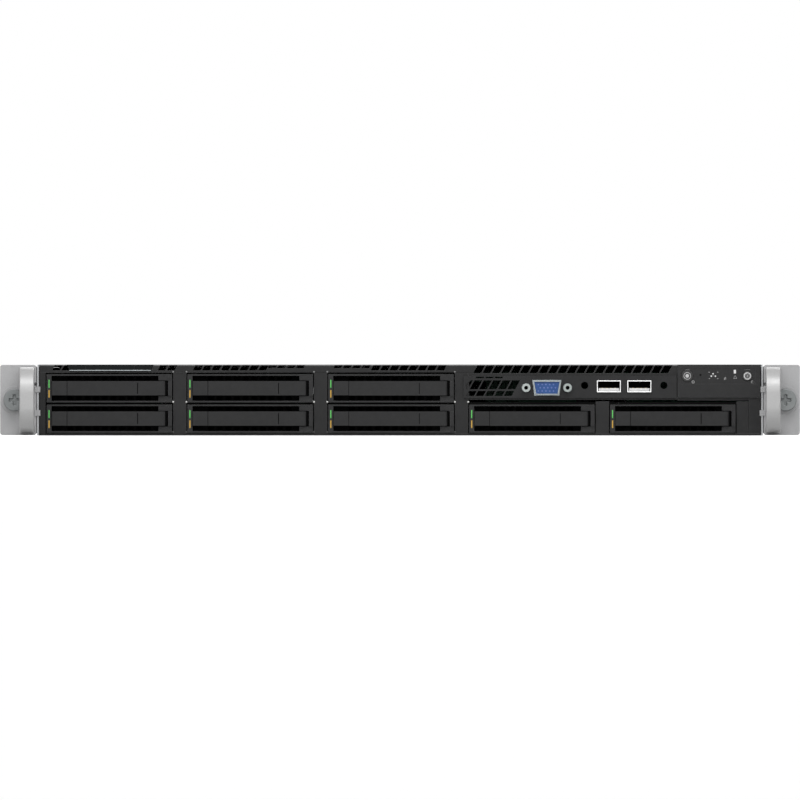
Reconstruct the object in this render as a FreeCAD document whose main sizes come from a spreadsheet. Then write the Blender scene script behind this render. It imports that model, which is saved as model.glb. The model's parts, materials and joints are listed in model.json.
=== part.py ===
import FreeCAD, Part
import os
import re
import Sketcher
from FreeCAD import Vector

# A one-unit rack server. Millimetres, +Z up, the front faces -Y, +X to the right.
# The origin is midway between the two rack screws, on the ears' back face.
# Levels along Z are counted from the middle of the chassis's height.
SIZES = {
    # Rack and ears
    "ear_gap": 0.4,
    "ear_width": 21.9,
    "rack_hole_inset": 8.75,
    "ear_height": 42.4,
    "ear_thick": 4.0,
    "ear_corner": 1.6,
    "ear_leg_depth": 45.0,
    "ear_leg_thick": 1.8,
    "ear_leg_height": 40.4,
    "ear_notch_z": 9.5,
    "ear_notch_height": 1.8,
    "ear_notch_width": 1.3,
    "tab_overlap": 2.0,
    "tab_height": 3.5,
    "tab_thick": 0.8,
    "upper_tab_z": 6.3,
    "lower_tab_z": 7.9,
    # Handles on the ears
    "handle_inset": 12.0,
    "handle_width": 8.7,
    "handle_top_z": 19.8,
    "handle_reach": 30.0,
    "handle_band": 4.4,
    "handle_bend": 15.5,
    # Captive rack screws
    "screw_head_radius": 6.65,
    "screw_head_length": 5.2,
    "screw_ring_radius": 8.4,
    "screw_ring_height": 0.5,
    "screw_shaft_radius": 2.5,
    "screw_neck_radius": 2.1,
    "screw_shaft_reach": 12.0,
    "screw_play": 0.08,
    "screw_recess_width": 1.7,
    "screw_recess_span": 6.4,
    "screw_recess_depth": 2.4,
    # Chassis
    "chassis_height": 42.8,
    "tray_width": 438.0,
    "rear_y": 706.0,
    "sheet": 1.0,
    "wall_front": 3.4,
    "lid_gap": 0.1,
    "lid_front": 24.0,
    "lid_flange_height": 4.0,
    "lid_flange_start": 128.0,
    "lid_flange_end": 690.0,
    "lid_play": 0.15,
    "lid_grip_y": 600.0,
    "lid_grip_length": 26.0,
    "lid_grip_width": 60.0,
    "lid_grip_depth": 0.5,
    "lid_grip_margin": 109.0,
    # Front sheet
    "panel_front": 3.9,
    "panel_sheet": 1.2,
    "panel_bend": 0.9,
    "panel_margin": 1.2,
    "opening_top": 16.7,
    "opening_bottom": 20.2,
    "opening_play": 0.75,
    "lower_opening_top": 0.2,
    "lower_gap_low": -0.9,
    "lower_gap_right_inset": 8.7,
    "seam_width": 0.35,
    # Vent slots along the top edge of the front sheet
    "vent_pitch": 5.65,
    "vent_rib": 0.85,
    "vent_top": 20.9,
    "vent_bottom": 17.8,
    "vent_short_bottom": 19.1,
    "vent_slant": 0.54,
    "vent_wrap": 6.0,
    "side_vents_offset": 3.2,
    "side_vents_step": 63.6,
    "second_vents_offset": 3.0,
    "third_vents_offset": 2.8,
    "long_vents": 8,
    "short_vents": 4,
    "io_vents_offset": 2.2,
    "io_vents_bottom": 16.1,
    "io_vents": 21,
    # Drive bays
    "bay_margin": 5.8,
    "bay_pitch": 85.0,
    "top_row_z": 7.05,
    "row_pitch": 18.3,
    "cage_depth": 116.0,
    "cage_top": 17.4,
    "cage_play": 0.1,
    "cell_play": 0.35,
    "post_wall": 1.0,
    # Drive carriers
    "carrier_width": 75.6,
    "carrier_height": 17.0,
    "carrier_front": 4.6,
    "carrier_bezel_depth": 13.0,
    "carrier_rim": 0.9,
    "carrier_left_wall": 2.9,
    "carrier_right_wall": 2.3,
    "carrier_rail": 2.5,
    "carrier_rail_height": 11.0,
    "carrier_length": 113.0,
    "carrier_web_y": 3.2,
    "carrier_web": 1.4,
    "air_slot_gap": 0.4,
    "air_slot_pitch": 5.2,
    "air_slot_width": 3.6,
    "air_slot_height": 2.3,
    "air_slots": 10,
    "light_pipe_x": 0.95,
    "light_pipe_width": 1.0,
    "green_pipe_high": 5.25,
    "green_pipe_low": 0.1,
    "amber_pipe_high": -0.9,
    "amber_pipe_low": -5.75,
    "pipe_play": 0.05,
    # Drive
    "drive_width": 69.85,
    "drive_length": 98.0,
    "drive_height": 15.0,
    "drive_start": 15.0,
    "drive_recess": 0.4,
    "drive_rim": 3.0,
    "drive_board_end": 12.0,
    "drive_socket_play": 1.0,
    # Carrier lever and its release
    "band_front": 6.0,
    "band_height": 8.7,
    "band_thick": 2.0,
    "lever_left": 12.4,
    "pivot_x": 69.9,
    "knuckle_radius": 3.2,
    "pivot_pin_radius": 1.1,
    "pivot_pin_reach": 6.9,
    "pivot_play": 0.08,
    "lug_low": 4.75,
    "lug_radius": 2.4,
    "lug_setback": 0.2,
    "lever_groove_x": 54.9,
    "lever_groove_height": 6.6,
    "lever_groove_width": 0.4,
    "lever_groove_depth": 0.5,
    "lever_rib_depth": 2.2,
    "lever_rib_inset": 3.0,
    "lever_rib_end": 2.0,
    "lever_rib_run": 4.0,
    "lever_play": 0.15,
    "release_left": 3.05,
    "release_stem_width": 5.0,
    "release_stem_height": 4.6,
    "release_stem_reach": 9.5,
    "release_play": 0.12,
    # Input and output panel
    "io_left_offset": -3.4,
    "io_right_offset": 125.0,
    "io_low": 1.3,
    "io_high": 14.6,
    "io_sheet": 1.2,
    "io_lip": 0.6,
    "io_vent_x_offset": 0.2,
    "io_vent_pitch": 5.68,
    "io_vent_upper_low": 6.5,
    "io_vent_upper_high": 11.9,
    "io_vent_lower_low": 2.4,
    "io_vent_lower_high": 5.5,
    "io_vent_top_low": 13.1,
    "io_vents_each": 5,
    "io_top_vents": 3,
    "io_corner_left_offset": -2.0,
    "io_corner_width": 1.3,
    "io_screw_left_x_offset": 69.6,
    "io_screw_right_x_offset": 117.4,
    "io_screw_z": 8.8,
    "io_screw_radius": 2.2,
    # Display port
    "vga_x_offset": 46.8,
    "vga_z": 7.4,
    "vga_shell_top": 16.4,
    "vga_shell_bottom": 14.0,
    "vga_shell_height": 8.3,
    "vga_shell_wall": 0.5,
    "vga_shell_reach": 5.6,
    "vga_shell_corner": 1.9,
    "vga_flange_width": 31.0,
    "vga_flange_height": 11.6,
    "vga_depth": 9.0,
    "vga_window_play": 0.6,
    "vga_insert_setback": 0.8,
    "vga_pin_radius": 0.42,
    "vga_pin_pitch": 2.29,
    "vga_pin_row": 1.98,
    "vga_pin_depth": 4.0,
    "vga_body_margin": 0.5,
    "jack_shank_grip": 0.3,
    "jack_spacing": 25.0,
    "jack_radius": 2.5,
    "jack_hole_radius": 1.2,
    "jack_reach": 5.0,
    "jack_hole_depth": 6.0,
    # Serial bus ports
    "usb_first_x_offset": 84.2,
    "usb_pitch": 18.4,
    "usb_z": 8.2,
    "usb_width": 14.5,
    "usb_height": 7.15,
    "usb_wall": 0.6,
    "usb_depth": 14.0,
    "usb_reach": 1.1,
    "usb_tongue": 1.9,
    "usb_tongue_low": 0.5,
    "usb_tongue_setback": 0.7,
    # Control panel
    "control_left_inset": 51.4,
    "control_right_inset": 1.5,
    "control_low": 1.5,
    "control_high": 21.2,
    "control_face": 5.1,
    "control_depth": 17.0,
    "control_foot": -0.4,
    "control_roof": 19.9,
    "control_field_left_inset": 50.0,
    "control_field_right_inset": 4.7,
    "control_field_low": 9.7,
    "control_field_high": 19.4,
    "control_field_depth": 0.25,
    "power_x_inset": 9.4,
    "power_z": 14.5,
    "power_radius": 2.9,
    "ident_x_inset": 45.7,
    "ident_z": 14.55,
    "ident_radius": 3.45,
    "button_proud": 0.4,
    "button_length": 8.5,
    "button_dish": 0.3,
    "button_dish_share": 0.72,
    "button_play": 0.15,
    "button_well": 10.5,
    "lamp_radius": 0.8,
    "ident_lamp_x_inset": 42.1,
    "ident_lamp_z": 10.9,
    "power_lamp_x_inset": 6.0,
    "power_lamp_z": 10.8,
    "drive_lamp_x_inset": 22.8,
    "drive_lamp_z": 12.9,
    "network_lamp_x_inset": 30.0,
    "network_lamp_z": 14.9,
    "status_lamp_x_inset": 16.8,
    "status_lamp_z": 17.1,
    "lamp_length": 4.0,
    # Pull-out tag tray
    "tag_left_offset": 12.6,
    "tag_right_offset": 64.0,
    "tag_low": 17.6,
    "tag_high": 21.3,
    "tag_play": 0.4,
    "tag_lip": 1.2,
    "tag_plate": 1.0,
    "tag_plate_inset": 0.6,
    "tag_slant": 1.3,
    "tag_grip_low": 0.8,
    "tag_length": 78.0,
    "tag_grip_left_offset": 23.5,
    "tag_grip_right_offset": 53.0,
    "tag_grip_proud": 1.0,
    "tag_seat_gap": 0.3,
    # Drive backplane
    "backplane_y": 117.6,
    "board_thick": 1.6,
    "backplane_gap": 4.0,
    "backplane_high": 17.0,
    "socket_width": 42.0,
    "socket_height": 5.0,
    "socket_depth": 3.6,
    "window_width": 30.0,
    "window_low": -12.0,
    "window_high": 11.0,
    # Fans
    "fan_y": 150.0,
    "fan_size": 40.0,
    "fan_length": 56.0,
    "fan_pitch": 72.0,
    "fan_margin": 38.0,
    "fan_bore_radius": 18.6,
    "fan_lift": 0.2,
    "fan_hub_radius": 8.0,
    "fan_spider": 4.0,
    "fan_strut": 3.2,
    "fan_strut_root": 0.7,
    "fan_motor_length": 10.0,
    "rotor_length": 42.0,
    "rotor_gap": 1.6,
    "shaft_radius": 1.5,
    "shaft_play": 0.06,
    "shaft_reach": 8.0,
    "blades": 5,
    "blade_start": 8.0,
    "blade_length": 28.0,
    "blade_thick": 1.7,
    "blade_root_x": 5.6,
    "blade_tip_x": 15.6,
    "blade_root_half": 4.0,
    "blade_tip_half": 7.4,
    "mount_hole_radius": 1.8,
    "mount_hole_inset": 4.0,
    # System board and what stands on it
    "standoff": 3.0,
    "board_side_gap": 5.0,
    "board_start": 222.0,
    "board_step_y": 506.0,
    "board_rear_gap": 4.0,
    "board_psu_gap": 5.0,
    "system_board_thick": 2.0,
    "standoff_radius": 2.8,
    "standoff_inset": 12.0,
    "standoff_pitch_x": 125.0,
    "standoff_pitch_y": 130.0,
    "sink_x": 107.0,
    "sink_y": 330.0,
    "sink_width": 78.0,
    "sink_length": 108.0,
    "sink_base": 4.0,
    "socket_frame": 5.0,
    "socket_frame_width": 60.0,
    "socket_frame_length": 64.0,
    "sink_fin_height": 19.0,
    "sink_fin": 0.7,
    "sink_fin_pitch": 4.3,
    "sink_fins": 18,
    "dimm_pitch": 9.5,
    "dimm_inner_x": 9.5,
    "dimm_outer_x": 155.5,
    "dimm_length": 133.35,
    "dimm_height": 31.0,
    "dimm_thick": 1.4,
    "dimm_sink": 1.5,
    "dimm_socket_width": 6.6,
    "dimm_socket_height": 4.5,
    "dimm_socket_length": 142.0,
    "dimms_each": 6,
    "duct_start": 215.0,
    "duct_end": 400.0,
    "duct_wall": 1.2,
    "duct_top": 20.0,
    "duct_half": 150.2,
    "duct_seat_gap": 0.3,
    "duct_lip_gap": 10.0,
    "duct_centre_half": 3.2,
    "duct_notch_width": 30.0,
    "duct_notch_length": 18.0,
    # Power supplies
    "psu_margin": 1.0,
    "psu_pitch": 76.0,
    "psu_width": 73.5,
    "psu_height": 39.8,
    "psu_length": 185.0,
    "psu_play": 0.25,
    "psu_grille_x": -17.0,
    "psu_grille_half": 14.5,
    "psu_slot_width": 2.6,
    "psu_slot_pitch": 4.6,
    "psu_slots": 7,
    "psu_slot_depth": 3.0,
    "psu_slot_margin": 1.0,
    "inlet_x": 16.5,
    "inlet_z": -7.5,
    "inlet_width": 25.0,
    "inlet_height": 17.5,
    "inlet_depth": 15.0,
    "inlet_pin_x": 7.0,
    "inlet_pin_low": 2.0,
    "inlet_pin_high": 4.5,
    "inlet_pin_width": 2.0,
    "inlet_pin_height": 4.0,
    "inlet_pin_reach": 12.0,
    "grip_left": -34.0,
    "grip_right": 1.0,
    "grip_reach": 24.0,
    "grip_band": 3.2,
    "grip_height": 9.0,
    "grip_z": 0.0,
    "grip_bend": 6.0,
    "latch_x": 32.2,
    "latch_width": 5.0,
    "latch_height": 12.0,
    "latch_z": 10.0,
    "latch_reach": 15.0,
    "latch_stem": 8.0,
    "latch_travel": 2.5,
    "latch_play": 0.3,
    "psu_edge_width": 40.0,
    "psu_edge_reach": 7.0,
    "psu_edge_thick": 1.6,
    "psu_edge_z": -6.0,
    "psu_socket_depth": 8.0,
    "psu_socket_margin": 2.0,
    "psu_socket_height": 14.0,
    # Rear ports
    "rear_vga_x": -42.0,
    "rear_usb_x": -12.0,
    "rear_jack_x": 18.0,
    "rear_jack_pitch": 17.5,
    "jack_width": 15.9,
    "jack_height": 13.4,
    "jack_depth": 20.0,
    "jack_proud": 0.8,
    "jack_mouth_width": 11.8,
    "jack_mouth_height": 7.2,
    "jack_mouth_depth": 13.0,
    "jack_key_width": 6.2,
    "jack_key_height": 2.4,
    "port_play": 0.2,
    # Slots in the rear wall, beside the ports
    "rear_vent_margin": 13.0,
    "rear_vent_pitch": 7.0,
    "rear_vent_width": 4.4,
    "rear_vent_low": -15.0,
    "rear_vent_high": -4.0,
    "rear_vents": 20,
    # Risers
    "riser_margin": 5.0,
    "riser_pitch": 109.0,
    "riser_width": 104.0,
    "riser_low": 0.6,
    "riser_high": 18.6,
    "riser_blank": 1.0,
    "riser_frame": 2.0,
    "riser_foot_length": 6.0,
    "riser_foot_width": 12.0,
    "riser_card_x": 8.0,
    "riser_card_length": 150.0,
    "riser_slot_width": 88.0,
    "riser_slot_height": 11.0,
    "riser_slot_depth": 8.5,
    "riser_slot_start": 20.0,
    "riser_slot_z": 4.0,
    "blank_slot_width": 4.0,
    "blank_slot_pitch": 8.0,
    "blank_slots": 11,
    "blank_slot_margin": 6.5,
    "blank_slot_end": 3.0,
    # Rail studs on the chassis's sides
    "stud_first_y": 62.0,
    "stud_pitch": 196.0,
    "studs_each": 4,
    "stud_neck_radius": 2.2,
    "stud_neck_length": 1.8,
    "stud_head_radius": 3.6,
    "stud_head_length": 1.2,
}

# Places across the server, each worked out from the tray's sides or from a bay's left edge
PLACES = {
    "tray_side": "(tray_width / 2)",
    "tray_inner": "(tray_width / 2 - sheet)",
    "ear_inner_x": "(tray_side + ear_gap)",
    "ear_outer_x": "(ear_inner_x + ear_width)",
    "rack_hole_x": "(ear_outer_x - rack_hole_inset)",
    "tab_reach": "(tray_side - tab_overlap)",
    "handle_outer_x": "(ear_outer_x - handle_inset)",
    "panel_edge": "(tray_side - panel_margin)",
    "first_bay_x": "(bay_margin - tray_side)",
    "ports_x": "(first_bay_x + 3 * bay_pitch)",
    "side_vents_x": "(first_bay_x + side_vents_offset)",
    "second_vents_x": "(first_bay_x + bay_pitch + second_vents_offset)",
    "third_vents_x": "(first_bay_x + 2 * bay_pitch + third_vents_offset)",
    "io_vents_x": "(ports_x + io_vents_offset)",
    "backplane_half": "(tray_inner - backplane_gap)",
    "fan_first_x": "(fan_margin - tray_inner)",
    "board_half": "(tray_inner - board_side_gap)",
    "duct_lip_half": "(tray_inner - duct_lip_gap)",
    "psu_first_x": "(tray_inner - 1.5 * psu_pitch - psu_margin)",
    "board_right_rear": "(psu_first_x - psu_pitch / 2 - board_psu_gap)",
    "riser_first_x": "(riser_margin - tray_inner)",
    "rear_vent_left": "(rear_vent_margin - tray_inner)",
    "lid_grip_x": "(tray_side - lid_grip_margin)",
}
for place_name in ("io_left", "io_right", "io_vent_x", "io_corner_left", "io_screw_left_x", "io_screw_right_x",
                   "vga_x", "usb_first_x"):
    PLACES[place_name] = f"(ports_x + {place_name}_offset)"
for place_name in ("tag_left", "tag_right", "tag_grip_left", "tag_grip_right"):
    PLACES[place_name] = f"(first_bay_x + {place_name}_offset)"
for place_name in ("control_left", "control_right", "control_field_left", "control_field_right", "power_x",
                   "ident_x", "ident_lamp_x", "power_lamp_x", "drive_lamp_x", "network_lamp_x", "status_lamp_x",
                   "lower_gap_right"):
    PLACES[place_name] = f"(tray_side - {place_name}_inset)"

doc = FreeCAD.newDocument("rack_server")
sheet = doc.addObject("Spreadsheet::Sheet", "sizes")
for line, (alias, number) in enumerate(SIZES.items(), start=1):
    sheet.set(f"A{line}", alias)
    sheet.set(f"B{line}", str(number))
    sheet.setAlias(f"B{line}", alias)
doc.recompute()

# Levels that several pieces share, as expressions in the sheet's names
HALF = "(chassis_height / 2)"
FLOOR = "(sheet - chassis_height / 2)"
ROOF = "(chassis_height / 2 - sheet)"
WALL_TOP = "(chassis_height / 2 - sheet - lid_gap)"
TRAY_SIDE = "tray_side"
TRAY_INNER = "tray_inner"
PANEL_BACK = "(panel_sheet - panel_front)"
BAND_BACK = "(band_thick - band_front)"
BOARD_TOP = f"({FLOOR} + standoff + system_board_thick)"
REAR_INNER = "(rear_y - sheet)"
PIVOT_Y = "(knuckle_radius - band_front)"


def bound(text):
    """An expression with each place written out, and each size's name led to its cell."""
    while any(word in PLACES for word in re.findall(r"[a-z][a-z_]+", text)):
        text = re.sub(r"[a-z][a-z_]+", lambda word: PLACES.get(word[0], word[0]), text)
    return re.sub(r"[a-z][a-z_]+", lambda word: f"sizes.{word[0]}" if word[0] in SIZES else word[0], text)


def value(text):
    """What an expression comes to."""
    return float(sheet.evalExpression(bound(str(text))))


def tie(thing, prop, text):
    """Bind a property to the sheet."""
    thing.setExpression(prop, bound(str(text)))


def new_body(name):
    """An empty body that carries its node's name."""
    body = doc.addObject("PartDesign::Body", name)
    body.Label = name
    return body


def origin_item(body, role):
    """One of the body's own planes or axes."""
    return next(item for item in body.Origin.OriginFeatures if item.Role == role)


# Each view's plane, and the sign of its normal along the axis that the view looks along
VIEWS = {"front": ("XZ_Plane", -1), "top": ("XY_Plane", 1), "side": ("YZ_Plane", 1)}


def new_sketch(body, view, level):
    """A sketch seen from the front (X, Z), the top (X, Y) or the side (Y, Z), at a level."""
    role, sign = VIEWS[view]
    sketch = body.newObject("Sketcher::SketchObject", f"{body.Name}_sketch")
    sketch.AttachmentSupport = (origin_item(body, role), [""])
    sketch.MapMode = "FlatFace"
    tie(sketch, "AttachmentOffset.Base.z", f"{sign} * ({level})")
    return sketch


def hold(sketch, kind, element, corner, text):
    """Keep a point's distance from the sketch's origin at a size."""
    index = sketch.addConstraint(Sketcher.Constraint(kind, -1, 1, element, corner, value(text)))
    tie(sketch, f"Constraints[{index}]", text)


def draw(sketch, corners):
    """A closed outline of straight runs, every corner held to the sheet."""
    places = [Vector(value(across), value(up), 0) for across, up in corners]
    first = sketch.GeometryCount
    for start, end in zip(places, places[1:] + places[:1]):
        sketch.addGeometry(Part.LineSegment(start, end), False)
    for index, (across, up) in enumerate(corners):
        following = first + (index + 1) % len(corners)
        sketch.addConstraint(Sketcher.Constraint("Coincident", first + index, 2, following, 1))
        hold(sketch, "DistanceX", first + index, 1, across)
        hold(sketch, "DistanceY", first + index, 1, up)


def draw_circle(sketch, across, up, radius):
    """A circle whose centre and radius are held to the sheet."""
    centre = Vector(value(across), value(up), 0)
    element = sketch.addGeometry(Part.Circle(centre, Vector(0, 0, 1), value(radius)), False)
    hold(sketch, "DistanceX", element, 3, across)
    hold(sketch, "DistanceY", element, 3, up)
    index = sketch.addConstraint(Sketcher.Constraint("Radius", element, value(radius)))
    tie(sketch, f"Constraints[{index}]", radius)


def add_pad(body, view, start, end, sketch):
    """Material between two levels along the view's axis."""
    pad = body.newObject("PartDesign::Pad", f"{body.Name}_pad")
    pad.Profile = sketch
    tie(pad, "Length", f"({end}) - ({start})")
    pad.Reversed = view == "front"
    body.Tip = pad
    return pad


def add_pocket(body, view, start, end, sketch):
    """Material taken away between two levels along the view's axis."""
    pocket = body.newObject("PartDesign::Pocket", f"{body.Name}_pocket")
    pocket.Profile = sketch
    tie(pocket, "Length", f"({end}) - ({start})")
    pocket.Reversed = view != "front"
    body.Tip = pocket
    return pocket


def solid(body, view, start, end, corners):
    sketch = new_sketch(body, view, start)
    draw(sketch, corners)
    return add_pad(body, view, start, end, sketch)


def cut(body, view, start, end, corners):
    sketch = new_sketch(body, view, start)
    draw(sketch, corners)
    return add_pocket(body, view, start, end, sketch)


def rod(body, view, start, end, across, up, radius):
    sketch = new_sketch(body, view, start)
    draw_circle(sketch, across, up, radius)
    return add_pad(body, view, start, end, sketch)


def bore(body, view, start, end, across, up, radius):
    sketch = new_sketch(body, view, start)
    draw_circle(sketch, across, up, radius)
    return add_pocket(body, view, start, end, sketch)


def rect(left, right, low, high):
    """A rectangle's corners."""
    return [(left, low), (right, low), (right, high), (left, high)]


def block(centre, width, low, high):
    """A rectangle's corners, centred across."""
    return rect(f"({centre}) - ({width}) / 2", f"({centre}) + ({width}) / 2", low, high)


def slot(left, width, low, high, slant):
    """A leaning slot's corners: its top stands to the right of its foot."""
    lean = f"(({high}) - ({low})) * ({slant})"
    right = f"({left}) + ({width})"
    return [(left, low), (right, low), (f"{right} + {lean}", high), (f"{left} + {lean}", high)]


def repeat(body, feature, axis, spacing, count):
    """A row of one feature along an axis of the body."""
    row = body.newObject("PartDesign::LinearPattern", f"{body.Name}_row")
    row.Originals = [feature]
    row.Direction = (origin_item(body, f"{axis}_Axis"), [""])
    row.Mode = "Spacing"
    tie(row, "Offset", spacing)
    tie(row, "Occurrences", count)
    body.Tip = row
    return row


def turn_about(body, feature, axis, count):
    """A ring of one feature about an axis of the body."""
    ring = body.newObject("PartDesign::PolarPattern", f"{body.Name}_ring")
    ring.Originals = [feature]
    ring.Axis = (origin_item(body, f"{axis}_Axis"), [""])
    ring.Angle = 360
    tie(ring, "Occurrences", count)
    body.Tip = ring
    return ring


def mirror_across(body, features, plane):
    """A feature again on the other side of one of the body's planes."""
    copy = body.newObject("PartDesign::Mirrored", f"{body.Name}_mirror")
    copy.Originals = features
    copy.MirrorPlane = (origin_item(body, f"{plane}_Plane"), [""])
    body.Tip = copy
    return copy


def round_edges(body, radius, axis, near=None):
    """Round the edges that run along an axis, all of them or those that pass a test."""
    doc.recompute()
    base = body.Tip
    names = []
    for index, edge in enumerate(base.Shape.Edges, start=1):
        if len(edge.Vertexes) != 2 or not isinstance(edge.Curve, (Part.Line, Part.LineSegment)):
            continue
        run = edge.Vertexes[1].Point - edge.Vertexes[0].Point
        if abs(abs(run.normalize().dot(axis)) - 1) < 1e-6 and (near is None or near(edge.CenterOfMass)):
            names.append(f"Edge{index}")
    fillet = body.newObject("PartDesign::Fillet", f"{body.Name}_fillet")
    fillet.Base = (base, names)
    tie(fillet, "Radius", radius)
    body.Tip = fillet
    return fillet


def place(thing, across="0", depth="0", height="0"):
    """Put an object where the sheet says."""
    for letter, text in zip("xyz", (across, depth, height)):
        tie(thing, f"Placement.Base.{letter}", text)
    return thing


def group(name, members, across="0", depth="0", height="0"):
    """Several solids, or another copy of one, as one placed object."""
    compound = doc.addObject("Part::Compound", name)
    compound.Label = name
    compound.Links = members
    return place(compound, across, depth, height)


def box(name, left, right, front, back, low, high):
    """A plain block between levels."""
    item = doc.addObject("Part::Box", name)
    tie(item, "Length", f"({right}) - ({left})")
    tie(item, "Width", f"({back}) - ({front})")
    tie(item, "Height", f"({high}) - ({low})")
    return place(item, left, front, low)


def bay_x(column):
    return f"(first_bay_x + {column} * bay_pitch)"


def row_z(row):
    return f"(top_row_z - {row} * row_pitch)"


# The eight bays: column from the left, row from the top
BAYS = [(column, row) for column in range(3) for row in range(2)] + [(3, 1), (4, 1)]
X_AXIS, Y_AXIS, Z_AXIS = Vector(1, 0, 0), Vector(0, 1, 0), Vector(0, 0, 1)


def tray_sheet():
    """The folded sheet that everything sits in: floor, two side walls and the supply dividers."""
    body = new_body("tray_sheet")
    solid(body, "front", PANEL_BACK, "rear_y", [
        (f"-{TRAY_SIDE}", f"-{HALF}"), (TRAY_SIDE, f"-{HALF}"), (TRAY_SIDE, WALL_TOP), (TRAY_INNER, WALL_TOP),
        (TRAY_INNER, FLOOR), (f"-{TRAY_INNER}", FLOOR), (f"-{TRAY_INNER}", WALL_TOP),
        (f"-{TRAY_SIDE}", WALL_TOP)])
    lip = solid(body, "front", "-wall_front", PANEL_BACK, rect(TRAY_INNER, TRAY_SIDE, f"-{HALF}", WALL_TOP))
    mirror_across(body, [lip], "YZ")
    divider_start = "(rear_y - psu_length)"
    for shift in ("-psu_pitch / 2", "psu_pitch / 2"):
        middle = f"(psu_first_x + {shift})"
        solid(body, "top", FLOOR, WALL_TOP, block(middle, "sheet", divider_start, REAR_INNER))
    return body


def rear_wall():
    """The rear sheet, spot-welded into the tray: supply bays, riser windows, port holes and vents."""
    body = new_body("rear_wall")
    solid(body, "front", REAR_INNER, "rear_y", rect(f"-{TRAY_INNER}", TRAY_INNER, FLOOR, WALL_TOP))
    bay = cut(body, "front", REAR_INNER, "rear_y", block(
        "psu_first_x", "psu_width + 2 * psu_play", "-psu_height / 2 - psu_play", "chassis_height"))
    repeat(body, bay, "X", "psu_pitch", 2)
    window = cut(body, "front", REAR_INNER, "rear_y", rect(
        "riser_first_x + riser_frame", "riser_first_x + riser_width - riser_frame",
        "riser_low + riser_frame", "riser_high - riser_frame"))
    repeat(body, window, "X", "riser_pitch", 2)
    jack = cut(body, "front", REAR_INNER, "rear_y", block(
        "rear_jack_x", "jack_width + 2 * port_play",
        f"{BOARD_TOP} - port_play", f"{BOARD_TOP} + jack_height + port_play"))
    repeat(body, jack, "X", "rear_jack_pitch", 3)
    cut(body, "front", REAR_INNER, "rear_y", block(
        "rear_usb_x", "usb_width + 2 * port_play",
        f"{BOARD_TOP} - port_play", f"{BOARD_TOP} + usb_height + port_play"))
    cut(body, "front", REAR_INNER, "rear_y", block(
        "rear_vga_x", "vga_shell_top + 2 * vga_window_play",
        f"{BOARD_TOP} + (vga_flange_height - vga_shell_height) / 2 - vga_window_play",
        f"{BOARD_TOP} + (vga_flange_height + vga_shell_height) / 2 + vga_window_play"))
    vent = cut(body, "front", REAR_INNER, "rear_y", rect(
        "rear_vent_left", "rear_vent_left + rear_vent_width", "rear_vent_low", "rear_vent_high"))
    repeat(body, vent, "X", "rear_vent_pitch", "rear_vents")
    return body


def top_cover():
    """The lid: a flat sheet that slides back on the tray's walls, with a guide strip welded under each side."""
    body = new_body("lid_sheet")
    solid(body, "top", ROOF, HALF, rect(
        f"-{TRAY_SIDE}", TRAY_SIDE, "lid_front", "rear_y"))
    for side in ("-lid_grip_x", "lid_grip_x"):
        cut(body, "top", f"{HALF} - lid_grip_depth", HALF, block(
            side, "lid_grip_width", "lid_grip_y", "lid_grip_y + lid_grip_length"))
    members = [body]
    for name, side in (("left", -1), ("right", 1)):
        strip = new_body(f"{name}_guide_strip")
        solid(strip, "top", f"{ROOF} - lid_flange_height", ROOF, block(
            f"{side} * ({TRAY_INNER} - lid_play - sheet / 2)", "sheet", "lid_flange_start", "lid_flange_end"))
        members.append(strip)
    return group("top_cover", members)


def vent_row(body, back, left, low, count):
    """A row of leaning slots that run from the front face back to a level."""
    hole = cut(body, "front", "-panel_front", back, slot(
        left, "vent_pitch - vent_rib", low, "vent_top", "vent_slant"))
    repeat(body, hole, "X", "vent_pitch", count)


def vent_slots(body, back):
    """All the vent slots along the top of the front, through the band and a little into the shelf behind."""
    for left in ("side_vents_x", "(side_vents_x + side_vents_step)"):
        vent_row(body, back, left, "vent_bottom", 2)
    vent_row(body, back, "second_vents_x", "vent_bottom", "long_vents")
    vent_row(body, back, "(second_vents_x + long_vents * vent_pitch)", "vent_short_bottom", "short_vents")
    vent_row(body, back, "third_vents_x", "vent_short_bottom", "short_vents")
    vent_row(body, back, "(third_vents_x + short_vents * vent_pitch)", "vent_bottom", "long_vents")
    vent_row(body, back, "io_vents_x", "io_vents_bottom", "io_vents")


def vent_band():
    """The upright band along the top: leaning vent slots, the tag's notch and the controls' corner."""
    body = new_body("vent_band")
    solid(body, "front", "-panel_front", PANEL_BACK, rect("-panel_edge", "panel_edge", "opening_top", HALF))
    front, top = value("-panel_front"), value(HALF)
    round_edges(body, "panel_bend", X_AXIS, lambda spot: spot.y < front + 0.1 and spot.z > top - 0.1)
    tag_notch(body, PANEL_BACK)
    cut(body, "front", "-panel_front", PANEL_BACK, rect(
        "control_left - lid_gap", "tray_width", "opening_top", "chassis_height"))
    vent_slots(body, PANEL_BACK)
    return body


def tag_notch(body, back):
    """Room for the tag's lip, with its slanting ends."""
    cut(body, "front", "-panel_front", back, [
        ("tag_left + tag_slant - tag_play", "tag_low - tag_play"),
        ("tag_right - tag_slant + tag_play", "tag_low - tag_play"),
        ("tag_right + tag_play", "tag_high - tag_play"), ("tag_right + tag_play", "chassis_height"),
        ("tag_left - tag_play", "chassis_height"), ("tag_left - tag_play", "tag_high - tag_play")])


def top_shelf():
    """The sheet that runs back from the band over the bays, as far as the lid."""
    body = new_body("top_shelf")
    solid(body, "top", ROOF, HALF, rect("-panel_edge", "panel_edge", PANEL_BACK, "lid_front - lid_gap"))
    tag_notch(body, f"{PANEL_BACK} + tag_play")
    vent_slots(body, "vent_wrap")
    return body


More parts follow.
